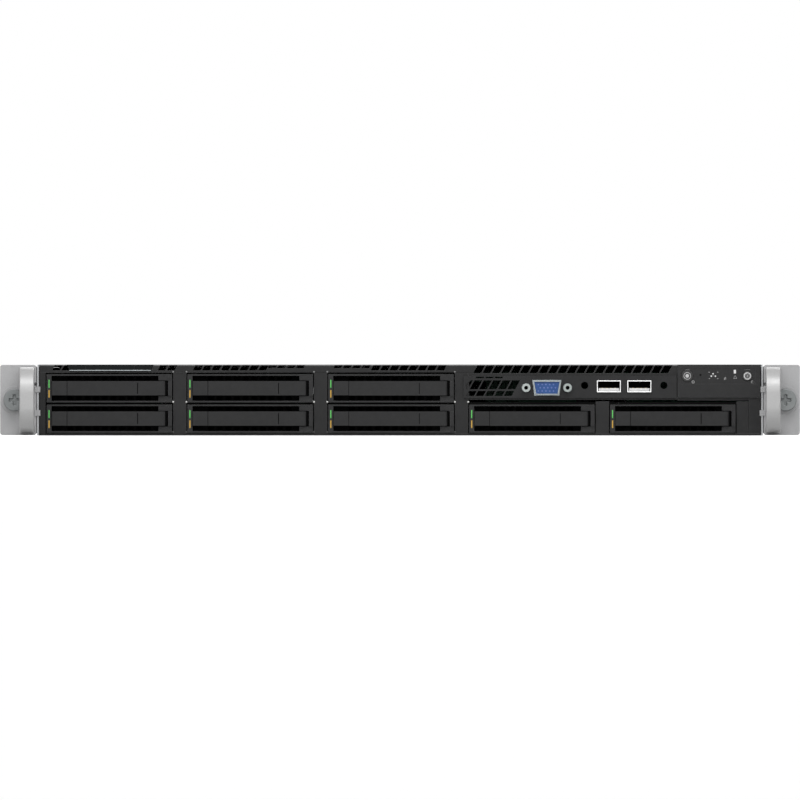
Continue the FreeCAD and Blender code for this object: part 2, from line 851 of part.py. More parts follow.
def front_posts():
    """The upright posts between the bays, each a coated strip from rail to rail."""
    posts = []
    gap_left = [f"({bay_x(column)} + carrier_width + opening_play)" for column in range(5)]
    gap_right = [f"({bay_x(column)} - opening_play)" for column in range(5)]
    runs = [("left_post", "-panel_edge", gap_right[0], "opening_top"),
            ("first_post", gap_left[0], gap_right[1], "opening_top"),
            ("second_post", gap_left[1], gap_right[2], "opening_top"),
            ("third_post", gap_left[2], gap_right[3], "opening_top"),
            ("fourth_post", gap_left[3], gap_right[4], "lower_gap_low"),
            ("fifth_post", gap_left[4], "lower_gap_right", "lower_gap_low"),
            ("right_post", "(lower_gap_right + seam_width)", "panel_edge", "(control_low - lid_gap)")]
    for name, left, right, high in runs:
        post = new_body(name)
        solid(post, "front", "-panel_front", PANEL_BACK, rect(left, right, "-opening_bottom", high))
        posts.append(post)
    return posts


def port_field():
    """The sheet behind the port plate, open where the ports and vents are, with the strip under the controls."""
    body = new_body("port_field")
    left = f"({bay_x(3)} - opening_play)"
    solid(body, "front", "-panel_front", PANEL_BACK, [
        (left, "lower_opening_top"), ("(lower_gap_right + seam_width)", "lower_opening_top"),
        ("(lower_gap_right + seam_width)", "control_low - lid_gap"),
        ("control_left - lid_gap", "control_low - lid_gap"), ("control_left - lid_gap", "opening_top"),
        (left, "opening_top")])
    cut(body, "front", "-panel_front", PANEL_BACK, rect(
        f"{left} + io_lip", "io_right - io_lip", "io_low + io_lip", "io_high - io_lip"))
    cut(body, "front", "-panel_front", PANEL_BACK, block(
        "vga_x", "vga_flange_width + 2 * port_play",
        "vga_z - vga_flange_height / 2 - port_play", "vga_z + vga_flange_height / 2 + port_play"))
    vent_row(body, PANEL_BACK, "io_vents_x", "io_vents_bottom", "io_vents")
    return body


def front_panel():
    """The black front frame: band, shelf, bottom rail, posts and port field, riveted edge to edge."""
    rail = new_body("bottom_rail")
    solid(rail, "front", "-panel_front", PANEL_BACK, rect("-panel_edge", "panel_edge", f"-{HALF}", "-opening_bottom"))
    return group("front_panel", [vent_band(), top_shelf(), rail, port_field()] + front_posts())


def cage_wall(name, left, right, low, high):
    """One sheet or hollow post of the cage, over its whole depth."""
    body = new_body(name)
    solid(body, "front", f"{PANEL_BACK} + lid_gap", "cage_depth", rect(left, right, low, high))
    return body


def drive_cage():
    """The welded cage behind the front frame: cheeks, hollow posts, shelves between the rows, two roofs."""
    cheek = f"({TRAY_INNER} - cage_play)"
    foot = f"({FLOOR} + cage_play)"
    room = "(carrier_height / 2 + cell_play)"
    lower_top, upper_low = f"({row_z(1)} + {room})", f"({row_z(0)} - {room})"
    upper_top, low_top = f"({row_z(0)} + {room})", f"({row_z(1)} + {room} + post_wall)"
    cell_left = [f"({bay_x(column)} - cell_play)" for column in range(5)]
    cell_right = [f"({bay_x(column)} + carrier_width + cell_play)" for column in range(5)]
    members = [
        cage_wall("left_cheek", f"-{cheek}", cell_left[0], foot, upper_top),
        cage_wall("right_cheek", cell_right[4], cheek, foot, lower_top),
        cage_wall("upper_roof", f"-{cheek}", cell_left[3], upper_top, "cage_top"),
        cage_wall("lower_roof", cell_left[3], cheek, lower_top, low_top)]
    for column in range(4):
        tall = column < 3
        high = upper_top if tall else lower_top
        post = cage_wall(f"cage_post_{column + 1}", cell_right[column], cell_left[column + 1], foot, high)
        cut(post, "front", f"{PANEL_BACK} + lid_gap", "cage_depth", rect(
            f"{cell_right[column]} + post_wall", f"{cell_left[column + 1]} - post_wall",
            f"{foot} + post_wall", f"{high} - post_wall"))
        members.append(post)
    for column in range(3):
        members.append(cage_wall(f"row_shelf_{column + 1}", cell_left[column], cell_right[column],
                                 lower_top, upper_low))
    return group("drive_cage", members)


def carrier_frame():
    """The moulded carrier: an open bezel, a vented web behind the lever, and two side rails."""
    body = new_body("carrier_frame")
    half = "(carrier_height / 2)"
    face, bezel_end = "-carrier_front", "(carrier_bezel_depth - carrier_front)"
    inner_left, inner_right = "carrier_left_wall", "(carrier_width - carrier_right_wall)"
    solid(body, "front", face, bezel_end, rect("0", "carrier_width", f"-{half}", half))
    cut(body, "front", face, "carrier_web_y", rect(
        inner_left, inner_right, f"carrier_rim - {half}", f"{half} - carrier_rim"))
    cut(body, "front", "carrier_web_y + carrier_web", bezel_end, rect(
        inner_left, inner_right, f"carrier_rim - {half}", f"{half} - carrier_rim"))
    for height in ("band_height / 2 + air_slot_gap", "-band_height / 2 - air_slot_gap - air_slot_height"):
        air = cut(body, "front", "carrier_web_y", "carrier_web_y + carrier_web", rect(
            "lever_left", "lever_left + air_slot_width", height, f"{height} + air_slot_height"))
        repeat(body, air, "X", "air_slot_pitch", "air_slots")
    cut(body, "front", "carrier_web_y", "carrier_web_y + carrier_web", block(
        "(release_left + lever_left) / 2", "release_stem_width + 2 * release_play",
        "-release_stem_height / 2 - release_play", "release_stem_height / 2 + release_play"))
    for low, high in (("lug_low", f"{half} - carrier_rim"), (f"carrier_rim - {half}", "-lug_low")):
        solid(body, "top", low, high, rect(
            "pivot_x - lug_radius", inner_right, f"{face} + lug_setback", "carrier_web_y"))
    bore(body, "top", "-pivot_pin_reach - pivot_play", "pivot_pin_reach + pivot_play", "pivot_x", PIVOT_Y,
         "pivot_pin_radius + pivot_play")
    for low, high in (("green_pipe_low", "green_pipe_high"), ("amber_pipe_low", "amber_pipe_high")):
        cut(body, "front", face, bezel_end, rect(
            "light_pipe_x - pipe_play", "light_pipe_x + light_pipe_width + pipe_play",
            f"{low} - pipe_play", f"{high} + pipe_play"))
    solid(body, "front", "-band_front", face, rect(inner_right, "carrier_width", "-band_height / 2", "band_height / 2"))
    rail = "(carrier_rail_height / 2)"
    for left, right in (("0", "carrier_rail"), ("carrier_width - carrier_rail", "carrier_width")):
        solid(body, "front", bezel_end, "carrier_length", rect(left, right, f"-{rail}", rail))
    return body


def drive():
    """A two-and-a-half inch drive with its stepped lid and connector end."""
    body = new_body("drive")
    left = "(carrier_width - drive_width) / 2"
    right = "(carrier_width + drive_width) / 2"
    end = "(drive_start + drive_length)"
    solid(body, "front", "drive_start", end, rect(left, right, "-drive_height / 2", "drive_height / 2"))
    cut(body, "top", "drive_height / 2 - drive_recess", "drive_height / 2", rect(
        f"{left} + drive_rim", f"{right} - drive_rim", "drive_start + drive_rim", f"{end} - drive_board_end"))
    mouth = "(socket_height / 2 + drive_socket_play)"
    cut(body, "front", f"{end} - drive_rim", end, block("carrier_width / 2", "socket_width", f"-{mouth}", mouth))
    return body


def light_pipes():
    """The carrier's two clear light pipes, one above the other."""
    pipes = []
    for name, low, high in (("green_pipe", "green_pipe_low", "green_pipe_high"),
                            ("amber_pipe", "amber_pipe_low", "amber_pipe_high")):
        pipes.append(box(name, "light_pipe_x", "light_pipe_x + light_pipe_width", "-carrier_front",
                         "carrier_bezel_depth - carrier_front", low, high))
    return pipes


def carrier_lever():
    """The handle that swings out: a flat band on a knuckle, with its pin and a stiffening rib."""
    body = new_body("lever")
    half = "(band_height / 2)"
    front = "-band_front"
    solid(body, "top", f"-{half}", half, rect("lever_left", "pivot_x", front, BAND_BACK))
    rod(body, "top", f"-{half}", half, "pivot_x", PIVOT_Y, "knuckle_radius")
    solid(body, "top", "-sheet", "sheet", [
        ("lever_left + lever_rib_inset", BAND_BACK),
        ("lever_left + lever_rib_inset + lever_rib_run", f"{BAND_BACK} + lever_rib_depth"),
        ("pivot_x - lever_rib_end - lever_rib_run", f"{BAND_BACK} + lever_rib_depth"),
        ("pivot_x - lever_rib_end", BAND_BACK)])
    rod(body, "top", "-pivot_pin_reach", "pivot_pin_reach", "pivot_x", PIVOT_Y, "pivot_pin_radius")
    cut(body, "front", front, f"{front} + lever_groove_depth", block(
        "lever_groove_x", "lever_groove_width", "-lever_groove_height / 2", "lever_groove_height / 2"))
    return body


def lever_release():
    """The button at the lever's free end, on a stem through the carrier's web."""
    body = new_body("release")
    half = "(band_height / 2)"
    right = "(lever_left - lever_play)"
    middle = "((release_left + lever_left) / 2)"
    solid(body, "front", "-band_front", BAND_BACK, rect("release_left", right, f"-{half}", half))
    solid(body, "front", BAND_BACK, f"{BAND_BACK} + release_stem_reach", block(
        middle, "release_stem_width", "-release_stem_height / 2", "release_stem_height / 2"))
    return body


def ear(name, side):
    """A die-cast rack ear: front plate, leg along the chassis's side and two hooked tabs."""
    body = new_body(name)
    outer, inner = f"{side} * ear_outer_x", f"{side} * ear_inner_x"
    half = "(ear_height / 2)"
    solid(body, "front", "-ear_thick", "0", rect(outer, inner, f"-{half}", half))
    round_edges(body, "ear_corner", Y_AXIS)
    leg_out = f"{side} * (ear_inner_x + ear_leg_thick)"
    solid(body, "front", "0", "ear_leg_depth", rect(
        f"{side} * {TRAY_SIDE}", leg_out, "-ear_leg_height / 2", "ear_leg_height / 2"))
    cut(body, "front", "-ear_thick", "0", rect(
        f"{side} * tab_reach", f"{side} * (ear_inner_x + ear_notch_width)",
        "ear_notch_z - ear_notch_height / 2", "ear_notch_z + ear_notch_height / 2"))
    for middle in ("upper_tab_z", "-lower_tab_z"):
        solid(body, "front", "-ear_thick - tab_thick", "-ear_thick", rect(
            f"{side} * tab_reach", f"{side} * (ear_inner_x + sheet)",
            f"{middle} - tab_height / 2", f"{middle} + tab_height / 2"))
    hole_x = f"{side} * rack_hole_x"
    rod(body, "front", "-ear_thick - screw_ring_height", "-ear_thick", hole_x, "0", "screw_ring_radius")
    bore(body, "front", "-ear_thick - screw_ring_height", "0", hole_x, "0", "screw_shaft_radius + screw_play")
    return body


def handle(name, side):
    """The pull handle: a flat band bent to a deep bow in front of the ear."""
    body = new_body(name)
    outer, inner = "handle_top_z", "(handle_top_z - handle_band)"
    reach, seat = "-ear_thick - handle_reach + handle_band", "-ear_thick"
    front = "(-ear_thick - handle_reach)"
    left = "handle_outer_x - handle_width" if side > 0 else "-handle_outer_x"
    right = "handle_outer_x" if side > 0 else "handle_width - handle_outer_x"
    solid(body, "side", left, right, [
        (seat, outer), (front, outer), (front, f"-{outer}"), (seat, f"-{outer}"),
        (seat, f"-{inner}"), (reach, f"-{inner}"), (reach, inner), (seat, inner)])
    nose = value(front)
    round_edges(body, "handle_bend", X_AXIS, lambda spot: spot.y < nose + 0.1)
    bow = value(reach)
    round_edges(body, "handle_bend - handle_band", X_AXIS, lambda spot: abs(spot.y - bow) < 0.1)
    return body


def rack_screw(name, side):
    """A captive rack screw: a cheese head with a cross recess, a slim neck through the ear, an M5 thread."""
    body = new_body(name)
    middle = f"{side} * rack_hole_x"
    seat = "(-ear_thick - screw_ring_height - screw_play)"
    top = f"({seat} - screw_head_length)"
    rod(body, "front", top, seat, middle, "0", "screw_head_radius")
    rod(body, "front", seat, "0", middle, "0", "screw_neck_radius")
    rod(body, "front", "0", "screw_shaft_reach", middle, "0", "screw_shaft_radius")
    arm, wide = "screw_recess_span / 2", "screw_recess_width / 2"
    cut(body, "front", top, f"{top} + screw_recess_depth", rect(
        f"{middle} - {arm}", f"{middle} + {arm}", f"-{wide}", wide))
    cut(body, "front", top, f"{top} + screw_recess_depth", rect(
        f"{middle} - {wide}", f"{middle} + {wide}", f"-{arm}", arm))
    return body


def shell_outline(grow, middle_z="0"):
    """The display port's D outline, wider at its top, grown by a wall or a gap."""
    half = f"((vga_shell_height) / 2 + ({grow}))"
    top, bottom = f"(vga_shell_top / 2 + ({grow}))", f"(vga_shell_bottom / 2 + ({grow}))"
    low, high = f"{middle_z} - {half}", f"{middle_z} + {half}"
    return [(f"-{bottom}", low), (bottom, low), (top, high), (f"-{top}", high)]


def vga_parts():
    """The display port: flanged D shell, pin block and two jack screws, about its own centre."""
    shell = new_body("vga_shell")
    low, high = "(-vga_flange_height / 2)", "(vga_flange_height / 2)"
    solid(shell, "front", "-vga_shell_reach", "0", shell_outline("0"))
    round_edges(shell, "vga_shell_corner", Y_AXIS)
    solid(shell, "front", "0", "sheet", block("0", "vga_flange_width", low, high))
    solid(shell, "front", "sheet", "vga_depth", block("0", "vga_shell_top + 2 * vga_body_margin", low, high))
    cut(shell, "front", "-vga_shell_reach", "0", shell_outline("-vga_shell_wall"))
    for side in (-1, 1):
        bore(shell, "front", "0", "sheet", f"{side} * jack_spacing / 2", "0",
             "jack_hole_radius + jack_shank_grip + pipe_play")
    face = "(vga_insert_setback - vga_shell_reach)"
    plain = new_body("vga_plain_insert")
    solid(plain, "front", face, "-pipe_play", shell_outline("-vga_shell_wall - pipe_play"))
    insert = new_body("vga_insert")
    solid(insert, "front", face, "-pipe_play", shell_outline("-vga_shell_wall - pipe_play"))
    for shift, drop in (("0", "1"), ("vga_pin_pitch / 2", "0"), ("0", "-1")):
        pin = bore(insert, "front", face, f"{face} + vga_pin_depth",
                   f"-2 * vga_pin_pitch - vga_pin_pitch / 4 + {shift}", f"{drop} * vga_pin_row", "vga_pin_radius")
        repeat(insert, pin, "X", "vga_pin_pitch", 5)
    jacks = []
    for side in (-1, 1):
        jack = new_body(f"jack_screw_{'left' if side < 0 else 'right'}")
        across = f"{side} * jack_spacing / 2"
        rod(jack, "front", "-jack_reach", "-pipe_play", across, "0", "jack_radius")
        rod(jack, "front", "-pipe_play", "jack_hole_depth", across, "0", "jack_hole_radius + jack_shank_grip")
        bore(jack, "front", "-jack_reach", "sheet", across, "0", "jack_hole_radius")
        jacks.append(jack)
    return [shell, insert] + jacks, [shell, plain]


def usb_parts():
    """One serial bus socket about its own centre: folded shell and the tongue inside it."""
    shell = new_body("usb_shell")
    wide, high = "usb_width / 2", "usb_height / 2"
    solid(shell, "front", "-usb_reach", "usb_depth - usb_reach", rect(f"-{wide}", wide, f"-{high}", high))
    cut(shell, "front", "-usb_reach", "usb_depth - usb_reach - usb_wall", rect(
        f"usb_wall - {wide}", f"{wide} - usb_wall", f"usb_wall - {high}", f"{high} - usb_wall"))
    tongue = box("usb_tongue", f"usb_wall + usb_tongue_low - {wide}", f"{wide} - usb_wall - usb_tongue_low",
                 "usb_tongue_setback - usb_reach", "usb_depth - usb_reach - usb_wall",
                 f"usb_wall - {high} + pipe_play", f"usb_wall - {high} + usb_tongue")
    return [shell, tongue]


def io_panel():
    """The plate that carries the front ports, with rows of leaning vent cells whose ribs line up."""
    body = new_body("io_panel")
    face, back = "(-panel_front - io_sheet)", "-panel_front"
    solid(body, "front", face, back, rect("io_left", "io_right", "io_low", "io_high"))
    width = "io_vent_pitch - vent_rib"
    for low, high, first, count in (
            ("io_vent_upper_low", "io_vent_upper_high", 0, "io_vents_each"),
            ("io_vent_lower_low", "io_vent_lower_high", 0, "io_vents_each"),
            ("io_vent_top_low", "io_high + io_sheet", 0, "io_top_vents")):
        foot = f"io_vent_x + {first} * io_vent_pitch + ({low} - io_vent_upper_low) * vent_slant"
        cell = cut(body, "front", face, back, slot(foot, width, low, high, "vent_slant"))
        repeat(body, cell, "X", "io_vent_pitch", count)
    cell_run = "(io_vent_upper_high - io_vent_upper_low)"
    corner_right = f"(io_corner_left + io_corner_width + {cell_run} * vent_slant)"
    cut(body, "front", face, back, [
        ("io_corner_left", "io_vent_upper_low"), ("io_corner_left + io_corner_width", "io_vent_upper_low"),
        (corner_right, "io_vent_upper_high"), (f"{corner_right} - io_corner_width", "io_vent_upper_high"),
        ("io_corner_left", f"io_vent_upper_low + {cell_run} / 2")])
    window = new_sketch(body, "front", face)
    grow = "vga_window_play"
    draw(window, [(f"vga_x + {across}", f"vga_z + {up}") for across, up in shell_outline(grow)])
    add_pocket(body, "front", face, back, window)
    for side in (-1, 1):
        bore(body, "front", face, back, f"vga_x + {side} * jack_spacing / 2", "vga_z", "jack_radius + port_play")
    socket = cut(body, "front", face, back, block(
        "usb_first_x", "usb_width + 2 * port_play",
        "usb_z - usb_height / 2 - port_play", "usb_z + usb_height / 2 + port_play"))
    repeat(body, socket, "X", "usb_pitch", 2)
    for across in ("io_screw_left_x", "io_screw_right_x"):
        bore(body, "front", face, back, across, "io_screw_z", "io_screw_radius")
    return body


def control_panel():
    """The moulded control housing at the top right, with wells for its buttons and lamps."""
    body = new_body("control_housing")
    face = "-control_face"
    solid(body, "front", face, PANEL_BACK, rect("control_left", "control_right", "control_low", "control_high"))
    solid(body, "front", f"{PANEL_BACK}", "control_depth", rect(
        "control_left", "control_right", "control_foot", "control_roof"))
    cut(body, "front", face, f"{face} + control_field_depth", rect(
        "control_field_left", "control_field_right", "control_field_low", "control_field_high"))
    for button in ("power", "ident"):
        bore(body, "front", face, f"{face} + button_well", f"{button}_x", f"{button}_z",
             f"{button}_radius + button_play")
    lamps = []
    for lamp in ("ident_lamp", "power_lamp", "drive_lamp", "network_lamp", "status_lamp"):
        bore(body, "front", face, f"{face} + lamp_length", f"{lamp}_x", f"{lamp}_z", "lamp_radius + pipe_play")
        lens = new_body(f"{lamp}_lens")
        rod(lens, "front", f"{face} + control_field_depth - pipe_play", f"{face} + lamp_length - pipe_play",
            f"{lamp}_x", f"{lamp}_z", "lamp_radius")
        lamps.append(lens)
    return group("control_panel", [body] + lamps)


def push_button(name, size_name):
    """A round push button in its well, with a dished face."""
    body = new_body(name)
    across, up = f"{size_name}_x", f"{size_name}_z"
    top = "(-control_face - button_proud)"
    rod(body, "front", top, f"{top} + button_length", across, up, f"{size_name}_radius")
    bore(body, "front", top, f"{top} + button_dish", across, up, f"{size_name}_radius * button_dish_share")
    return body


def tag_tray():
    """The pull-out information tag: a thin plate with a folded lip and a finger grip."""
    body = new_body("tag_tray")
    face = "(-panel_front - tag_grip_proud)"
    solid(body, "front", "-panel_front", "tag_lip - panel_front", [
        ("tag_left + tag_slant", "tag_low"), ("tag_right - tag_slant", "tag_low"),
        ("tag_right", "tag_high"), ("tag_left", "tag_high")])
    solid(body, "front", face, "-panel_front", rect(
        "tag_grip_left", "tag_grip_right", "tag_low + tag_grip_low", "tag_high"))
    inset = "(tag_slant + tag_plate_inset)"
    solid(body, "top", "cage_top + tag_seat_gap", "cage_top + tag_seat_gap + tag_plate", rect(
        f"tag_left + {inset}", f"tag_right - {inset}", "tag_lip - panel_front", "tag_length"))
    return body


def drive_backplane():
    """The board behind the drives: air windows between the sockets, one socket a bay."""
    board = new_body("backplane_board")
    start, end = "backplane_y", "backplane_y + board_thick"
    foot = f"{FLOOR} + cage_play"
    solid(board, "front", start, end, rect("-backplane_half", "backplane_half", foot, "backplane_high"))
    window = cut(board, "front", start, end, block(
        f"{bay_x(0)} + carrier_width + (bay_pitch - carrier_width) / 2", "window_width",
        "window_low", "window_high"))
    repeat(board, window, "X", "bay_pitch", 4)
    members = [board]
    for index, (column, row) in enumerate(BAYS, start=1):
        middle = f"({bay_x(column)} + carrier_width / 2)"
        members.append(box(f"backplane_socket_{index}", f"{middle} - socket_width / 2",
                           f"{middle} + socket_width / 2", "backplane_y - socket_depth", "backplane_y",
                           f"{row_z(row)} - socket_height / 2", f"{row_z(row)} + socket_height / 2"))
    return group("drive_backplane", members)


def fan_housing():
    """A square fan housing with its bore, corner holes and the motor on four struts."""
    body = new_body("fan_housing")
    half = "fan_size / 2"
    solid(body, "front", "0", "fan_length", rect(f"-{half}", half, f"-{half}", half))
    bore(body, "front", "0", "fan_length", "0", "0", "fan_bore_radius")
    strut_start = "(fan_length - fan_spider)"
    rim = "(fan_bore_radius + fan_strut_root)"
    for corners in (block("0", "fan_strut", f"-{rim}", rim), rect(f"-{rim}", rim, "-fan_strut / 2", "fan_strut / 2")):
        solid(body, "front", strut_start, "fan_length", corners)
    rod(body, "front", "fan_length - fan_motor_length", "fan_length", "0", "0", "fan_hub_radius")
    bore(body, "front", "fan_length - fan_motor_length", "fan_length", "0", "0", "shaft_radius + shaft_play")
    return body


def fan_rotor():
    """A fan rotor: hub with a ring of twisted blades, and the shaft that runs in the motor."""
    body = new_body("fan_rotor")
    back = "(fan_length - fan_motor_length - rotor_gap)"
    rod(body, "front", f"{back} - rotor_length", back, "0", "0", "fan_hub_radius")
    rod(body, "front", back, f"{back} + rotor_gap + shaft_reach", "0", "0", "shaft_radius")
    sections = []
    for level, half in (("blade_root_x", "blade_root_half"), ("blade_tip_x", "blade_tip_half")):
        section = new_sketch(body, "side", level)
        draw(section, [("blade_start", f"-{half}"), ("blade_start + blade_thick", f"-{half}"),
                       ("blade_start + blade_length", half), ("blade_start + blade_length - blade_thick", half)])
        sections.append(section)
    blade = body.newObject("PartDesign::AdditiveLoft", "blade")
    blade.Profile = sections[0]
    blade.Sections = [sections[1]]
    body.Tip = blade
    turn_about(body, blade, "Y", "blades")
    return body


def fans():
    """Six housings as one group, and six rotors that each turn in theirs."""
    housing, rotor = fan_housing(), fan_rotor()
    height = f"{FLOOR} + fan_lift + fan_size / 2"
    housings, rotors = [], []
    for index in range(6):
        spot = f"fan_first_x + {index} * fan_pitch", "fan_y", height
        housings.append(group(f"fan_housing_{index + 1}", [housing], *spot))
        rotors.append(group(f"fan_rotor_{index + 1}", [rotor], *spot))
    return [group("fan_housings", housings)] + rotors


def system_board(display, bus):
    """The main board on its standoffs, stepped round the supplies, with the ports soldered to its rear edge."""
    board = new_body("main_board")
    rear = f"({REAR_INNER} - board_rear_gap)"
    solid(board, "top", f"{FLOOR} + standoff", BOARD_TOP, [
        ("-board_half", "board_start"), ("board_half", "board_start"), ("board_half", "board_step_y"),
        ("board_right_rear", "board_step_y"), ("board_right_rear", rear), ("-board_half", rear)])
    members = [board]
    for column in range(4):
        for line in range(3):
            post = doc.addObject("Part::Cylinder", f"standoff_{column}_{line}")
            tie(post, "Radius", "standoff_radius")
            tie(post, "Height", "standoff")
            members.append(place(post, f"({column} - 1.5) * standoff_pitch_x",
                                 f"board_start + standoff_inset + {line} * standoff_pitch_y", FLOOR))
    for index in range(2):
        middle = f"(psu_first_x + {index} * psu_pitch)"
        front = "(rear_y - psu_length - psu_edge_reach)"
        reach = "(psu_edge_width / 2 + psu_socket_margin)"
        members.append(box(f"power_socket_{index + 1}", f"{middle} - {reach}", f"{middle} + {reach}",
                           f"{front} - psu_socket_depth", f"{front} - port_play",
                           BOARD_TOP, f"{BOARD_TOP} + psu_socket_height"))
    members.append(turned("rear_usb", bus, "rear_usb_x", REAR_INNER, f"{BOARD_TOP} + usb_height / 2"))
    members.append(turned("rear_vga", display, "rear_vga_x", f"{REAR_INNER} - port_play",
                          f"{BOARD_TOP} + vga_flange_height / 2"))
    return group("system_board", members)


def heatsinks():
    """Two finned processor coolers, each on its socket frame."""
    body = new_body("cooler")
    half, run = "sink_width / 2", "sink_length / 2"
    base = f"({BOARD_TOP} + socket_frame)"
    solid(body, "top", BOARD_TOP, base, block(
        "0", "socket_frame_width", "-socket_frame_length / 2", "socket_frame_length / 2"))
    solid(body, "top", base, f"{base} + sink_base", rect(f"-{half}", half, f"-{run}", run))
    fin = solid(body, "top", f"{base} + sink_base", f"{base} + sink_base + sink_fin_height", rect(
        f"-{half} + sink_fin", f"-{half} + 2 * sink_fin", f"-{run}", run))
    repeat(body, fin, "X", "sink_fin_pitch", "sink_fins")
    return group("heatsinks", [group(f"cooler_{index + 1}", [body], across, "sink_y")
                               for index, across in enumerate(("-sink_x", "sink_x"))])


def memory_modules():
    """Four banks of memory modules, each standing in its socket."""
    module = new_body("memory_module")
    top = f"{BOARD_TOP} + dimm_sink + dimm_height"
    solid(module, "top", f"{BOARD_TOP} + dimm_sink", top, block(
        "0", "dimm_thick", "-dimm_length / 2", "dimm_length / 2"))
    socket = new_body("memory_socket")
    solid(socket, "top", BOARD_TOP, f"{BOARD_TOP} + dimm_socket_height", block(
        "0", "dimm_socket_width", "-dimm_socket_length / 2", "dimm_socket_length / 2"))
    cut(socket, "top", f"{BOARD_TOP} + dimm_sink - pipe_play", f"{BOARD_TOP} + dimm_socket_height", block(
        "0", "dimm_thick + 2 * pipe_play", "-dimm_length / 2 - pipe_play", "dimm_length / 2 + pipe_play"))
    members = []
    for side in (-1, 1):
        for bank in ("dimm_inner_x", "dimm_outer_x"):
            for index in range(int(value("dimms_each"))):
                members.append(group(f"memory_{len(members) + 1}", [module, socket],
                                     f"{side} * ({bank} + {index} * dimm_pitch)", "sink_y"))
    return group("memory_modules", members)


def air_duct():
    """The moulded duct over the coolers: a roof with four walls between the memory banks."""
    body = new_body("air_duct")
    roof = "(duct_top - duct_wall)"
    solid(body, "top", roof, "duct_top", rect("-duct_lip_half", "duct_lip_half", "duct_start", "duct_end"))
    walls = ("duct_half", "sink_x - sink_width / 2 - duct_centre_half")
    for outer in walls:
        wall = solid(body, "top", f"{BOARD_TOP} + duct_seat_gap", roof, rect(
            f"{outer} - duct_wall", outer, "duct_start", "duct_end"))
        mirror_across(body, [wall], "YZ")
    cut(body, "top", roof, "duct_top", block(
        "0", "duct_notch_width", "duct_start", "duct_start + duct_notch_length"))
    return body


def power_supply_parts():
    """A plug-in power supply about its own middle: case, inlet pins and the bent pull grip."""
    body = new_body("supply_case")
    half, high = "psu_width / 2", "psu_height / 2"
    start = "(rear_y - psu_length)"
    solid(body, "front", start, "rear_y", rect(f"-{half}", half, f"-{high}", high))
    mouth = "(rear_y - inlet_depth)"
    left, right = "(inlet_x - inlet_width / 2)", "(inlet_x + inlet_width / 2)"
    foot, shoulder, crown = (f"(inlet_z {rise})" for rise in (
        "- inlet_height / 2", "+ inlet_height / 4", "+ inlet_height / 2"))
    cut(body, "front", mouth, "rear_y", [
        (left, foot), (right, foot), (right, shoulder), (f"{right} - inlet_width / 4", crown),
        (f"{left} + inlet_width / 4", crown), (left, shoulder)])
    for across, up in (("inlet_x - inlet_pin_x", "inlet_z - inlet_pin_low"),
                       ("inlet_x + inlet_pin_x", "inlet_z - inlet_pin_low"),
                       ("inlet_x", "inlet_z + inlet_pin_high")):
        solid(body, "front", mouth, f"{mouth} + inlet_pin_reach", block(
            across, "inlet_pin_width", f"{up} - inlet_pin_height / 2", f"{up} + inlet_pin_height / 2"))
    edge = "(grip_height / 2 + psu_slot_margin)"
    for low, top in (("-psu_grille_half", f"-{edge}"), (edge, "psu_grille_half")):
        air = cut(body, "front", "rear_y - psu_slot_depth", "rear_y", block(
            "psu_grille_x - (psu_slots - 1) / 2 * psu_slot_pitch", "psu_slot_width", low, top))
        repeat(body, air, "X", "psu_slot_pitch", "psu_slots")
    cut(body, "front", "rear_y - latch_stem - latch_play", "rear_y", rect(
        "latch_x - latch_width / 2 - latch_travel - latch_play", "latch_x + latch_width / 2 + latch_play",
        "latch_z - latch_height / 4 - latch_play", "latch_z + latch_height / 4 + latch_play"))
    solid(body, "front", f"{start} - psu_edge_reach", start, block(
        "0", "psu_edge_width", "psu_edge_z - psu_edge_thick / 2", "psu_edge_z + psu_edge_thick / 2"))
    grip_out = "(rear_y + grip_reach)"
    solid(body, "top", "grip_z - grip_height / 2", "grip_z + grip_height / 2", [
        ("grip_left", "rear_y"), ("grip_left", grip_out), ("grip_right", grip_out), ("grip_right", "rear_y"),
        ("grip_right - grip_band", "rear_y"), ("grip_right - grip_band", f"{grip_out} - grip_band"),
        ("grip_left + grip_band", f"{grip_out} - grip_band"), ("grip_left + grip_band", "rear_y")])
    far = value(grip_out)
    round_edges(body, "grip_bend", Z_AXIS, lambda spot: abs(spot.y - far) < 0.1)
    bend = value(f"{grip_out} - grip_band")
    round_edges(body, "grip_bend - grip_band", Z_AXIS, lambda spot: abs(spot.y - bend) < 0.1)
    return body


def supply_latch():
    """The supply's release: a thumb tab on a stem that runs in the case's slot."""
    body = new_body("supply_latch")
    quarter = "latch_height / 4"
    solid(body, "front", "rear_y - latch_stem", "rear_y + latch_play", block(
        "latch_x", "latch_width", f"latch_z - {quarter}", f"latch_z + {quarter}"))
    solid(body, "front", "rear_y + latch_play", "rear_y + latch_reach", block(
        "latch_x", "latch_width", "latch_z - latch_height / 2", "latch_z + latch_height / 2"))
    return body


def rear_jack():
    """A network jack about its own foot: a shielded block with its keyed mouth."""
    body = new_body("jack_block")
    half = "jack_width / 2"
    start, end = "(rear_y + jack_proud - jack_depth)", "(rear_y + jack_proud)"
    solid(body, "front", start, end, rect(f"-{half}", half, "0", "jack_height"))
    low = "(jack_height - jack_mouth_height) / 2 + jack_key_height / 2"
    cut(body, "front", f"{end} - jack_mouth_depth", end, block("0", "jack_mouth_width", low, f"{low} + jack_mouth_height"))
    cut(body, "front", f"{end} - jack_mouth_depth", end, block("0", "jack_key_width", f"{low} - jack_key_height", low))
    return body


def turned(name, members, across, depth, height):
    """The members as one object, turned to face the rear."""
    compound = group(name, members, across, depth, height)
    compound.Placement.Rotation = FreeCAD.Rotation(Z_AXIS, 180)
    return compound


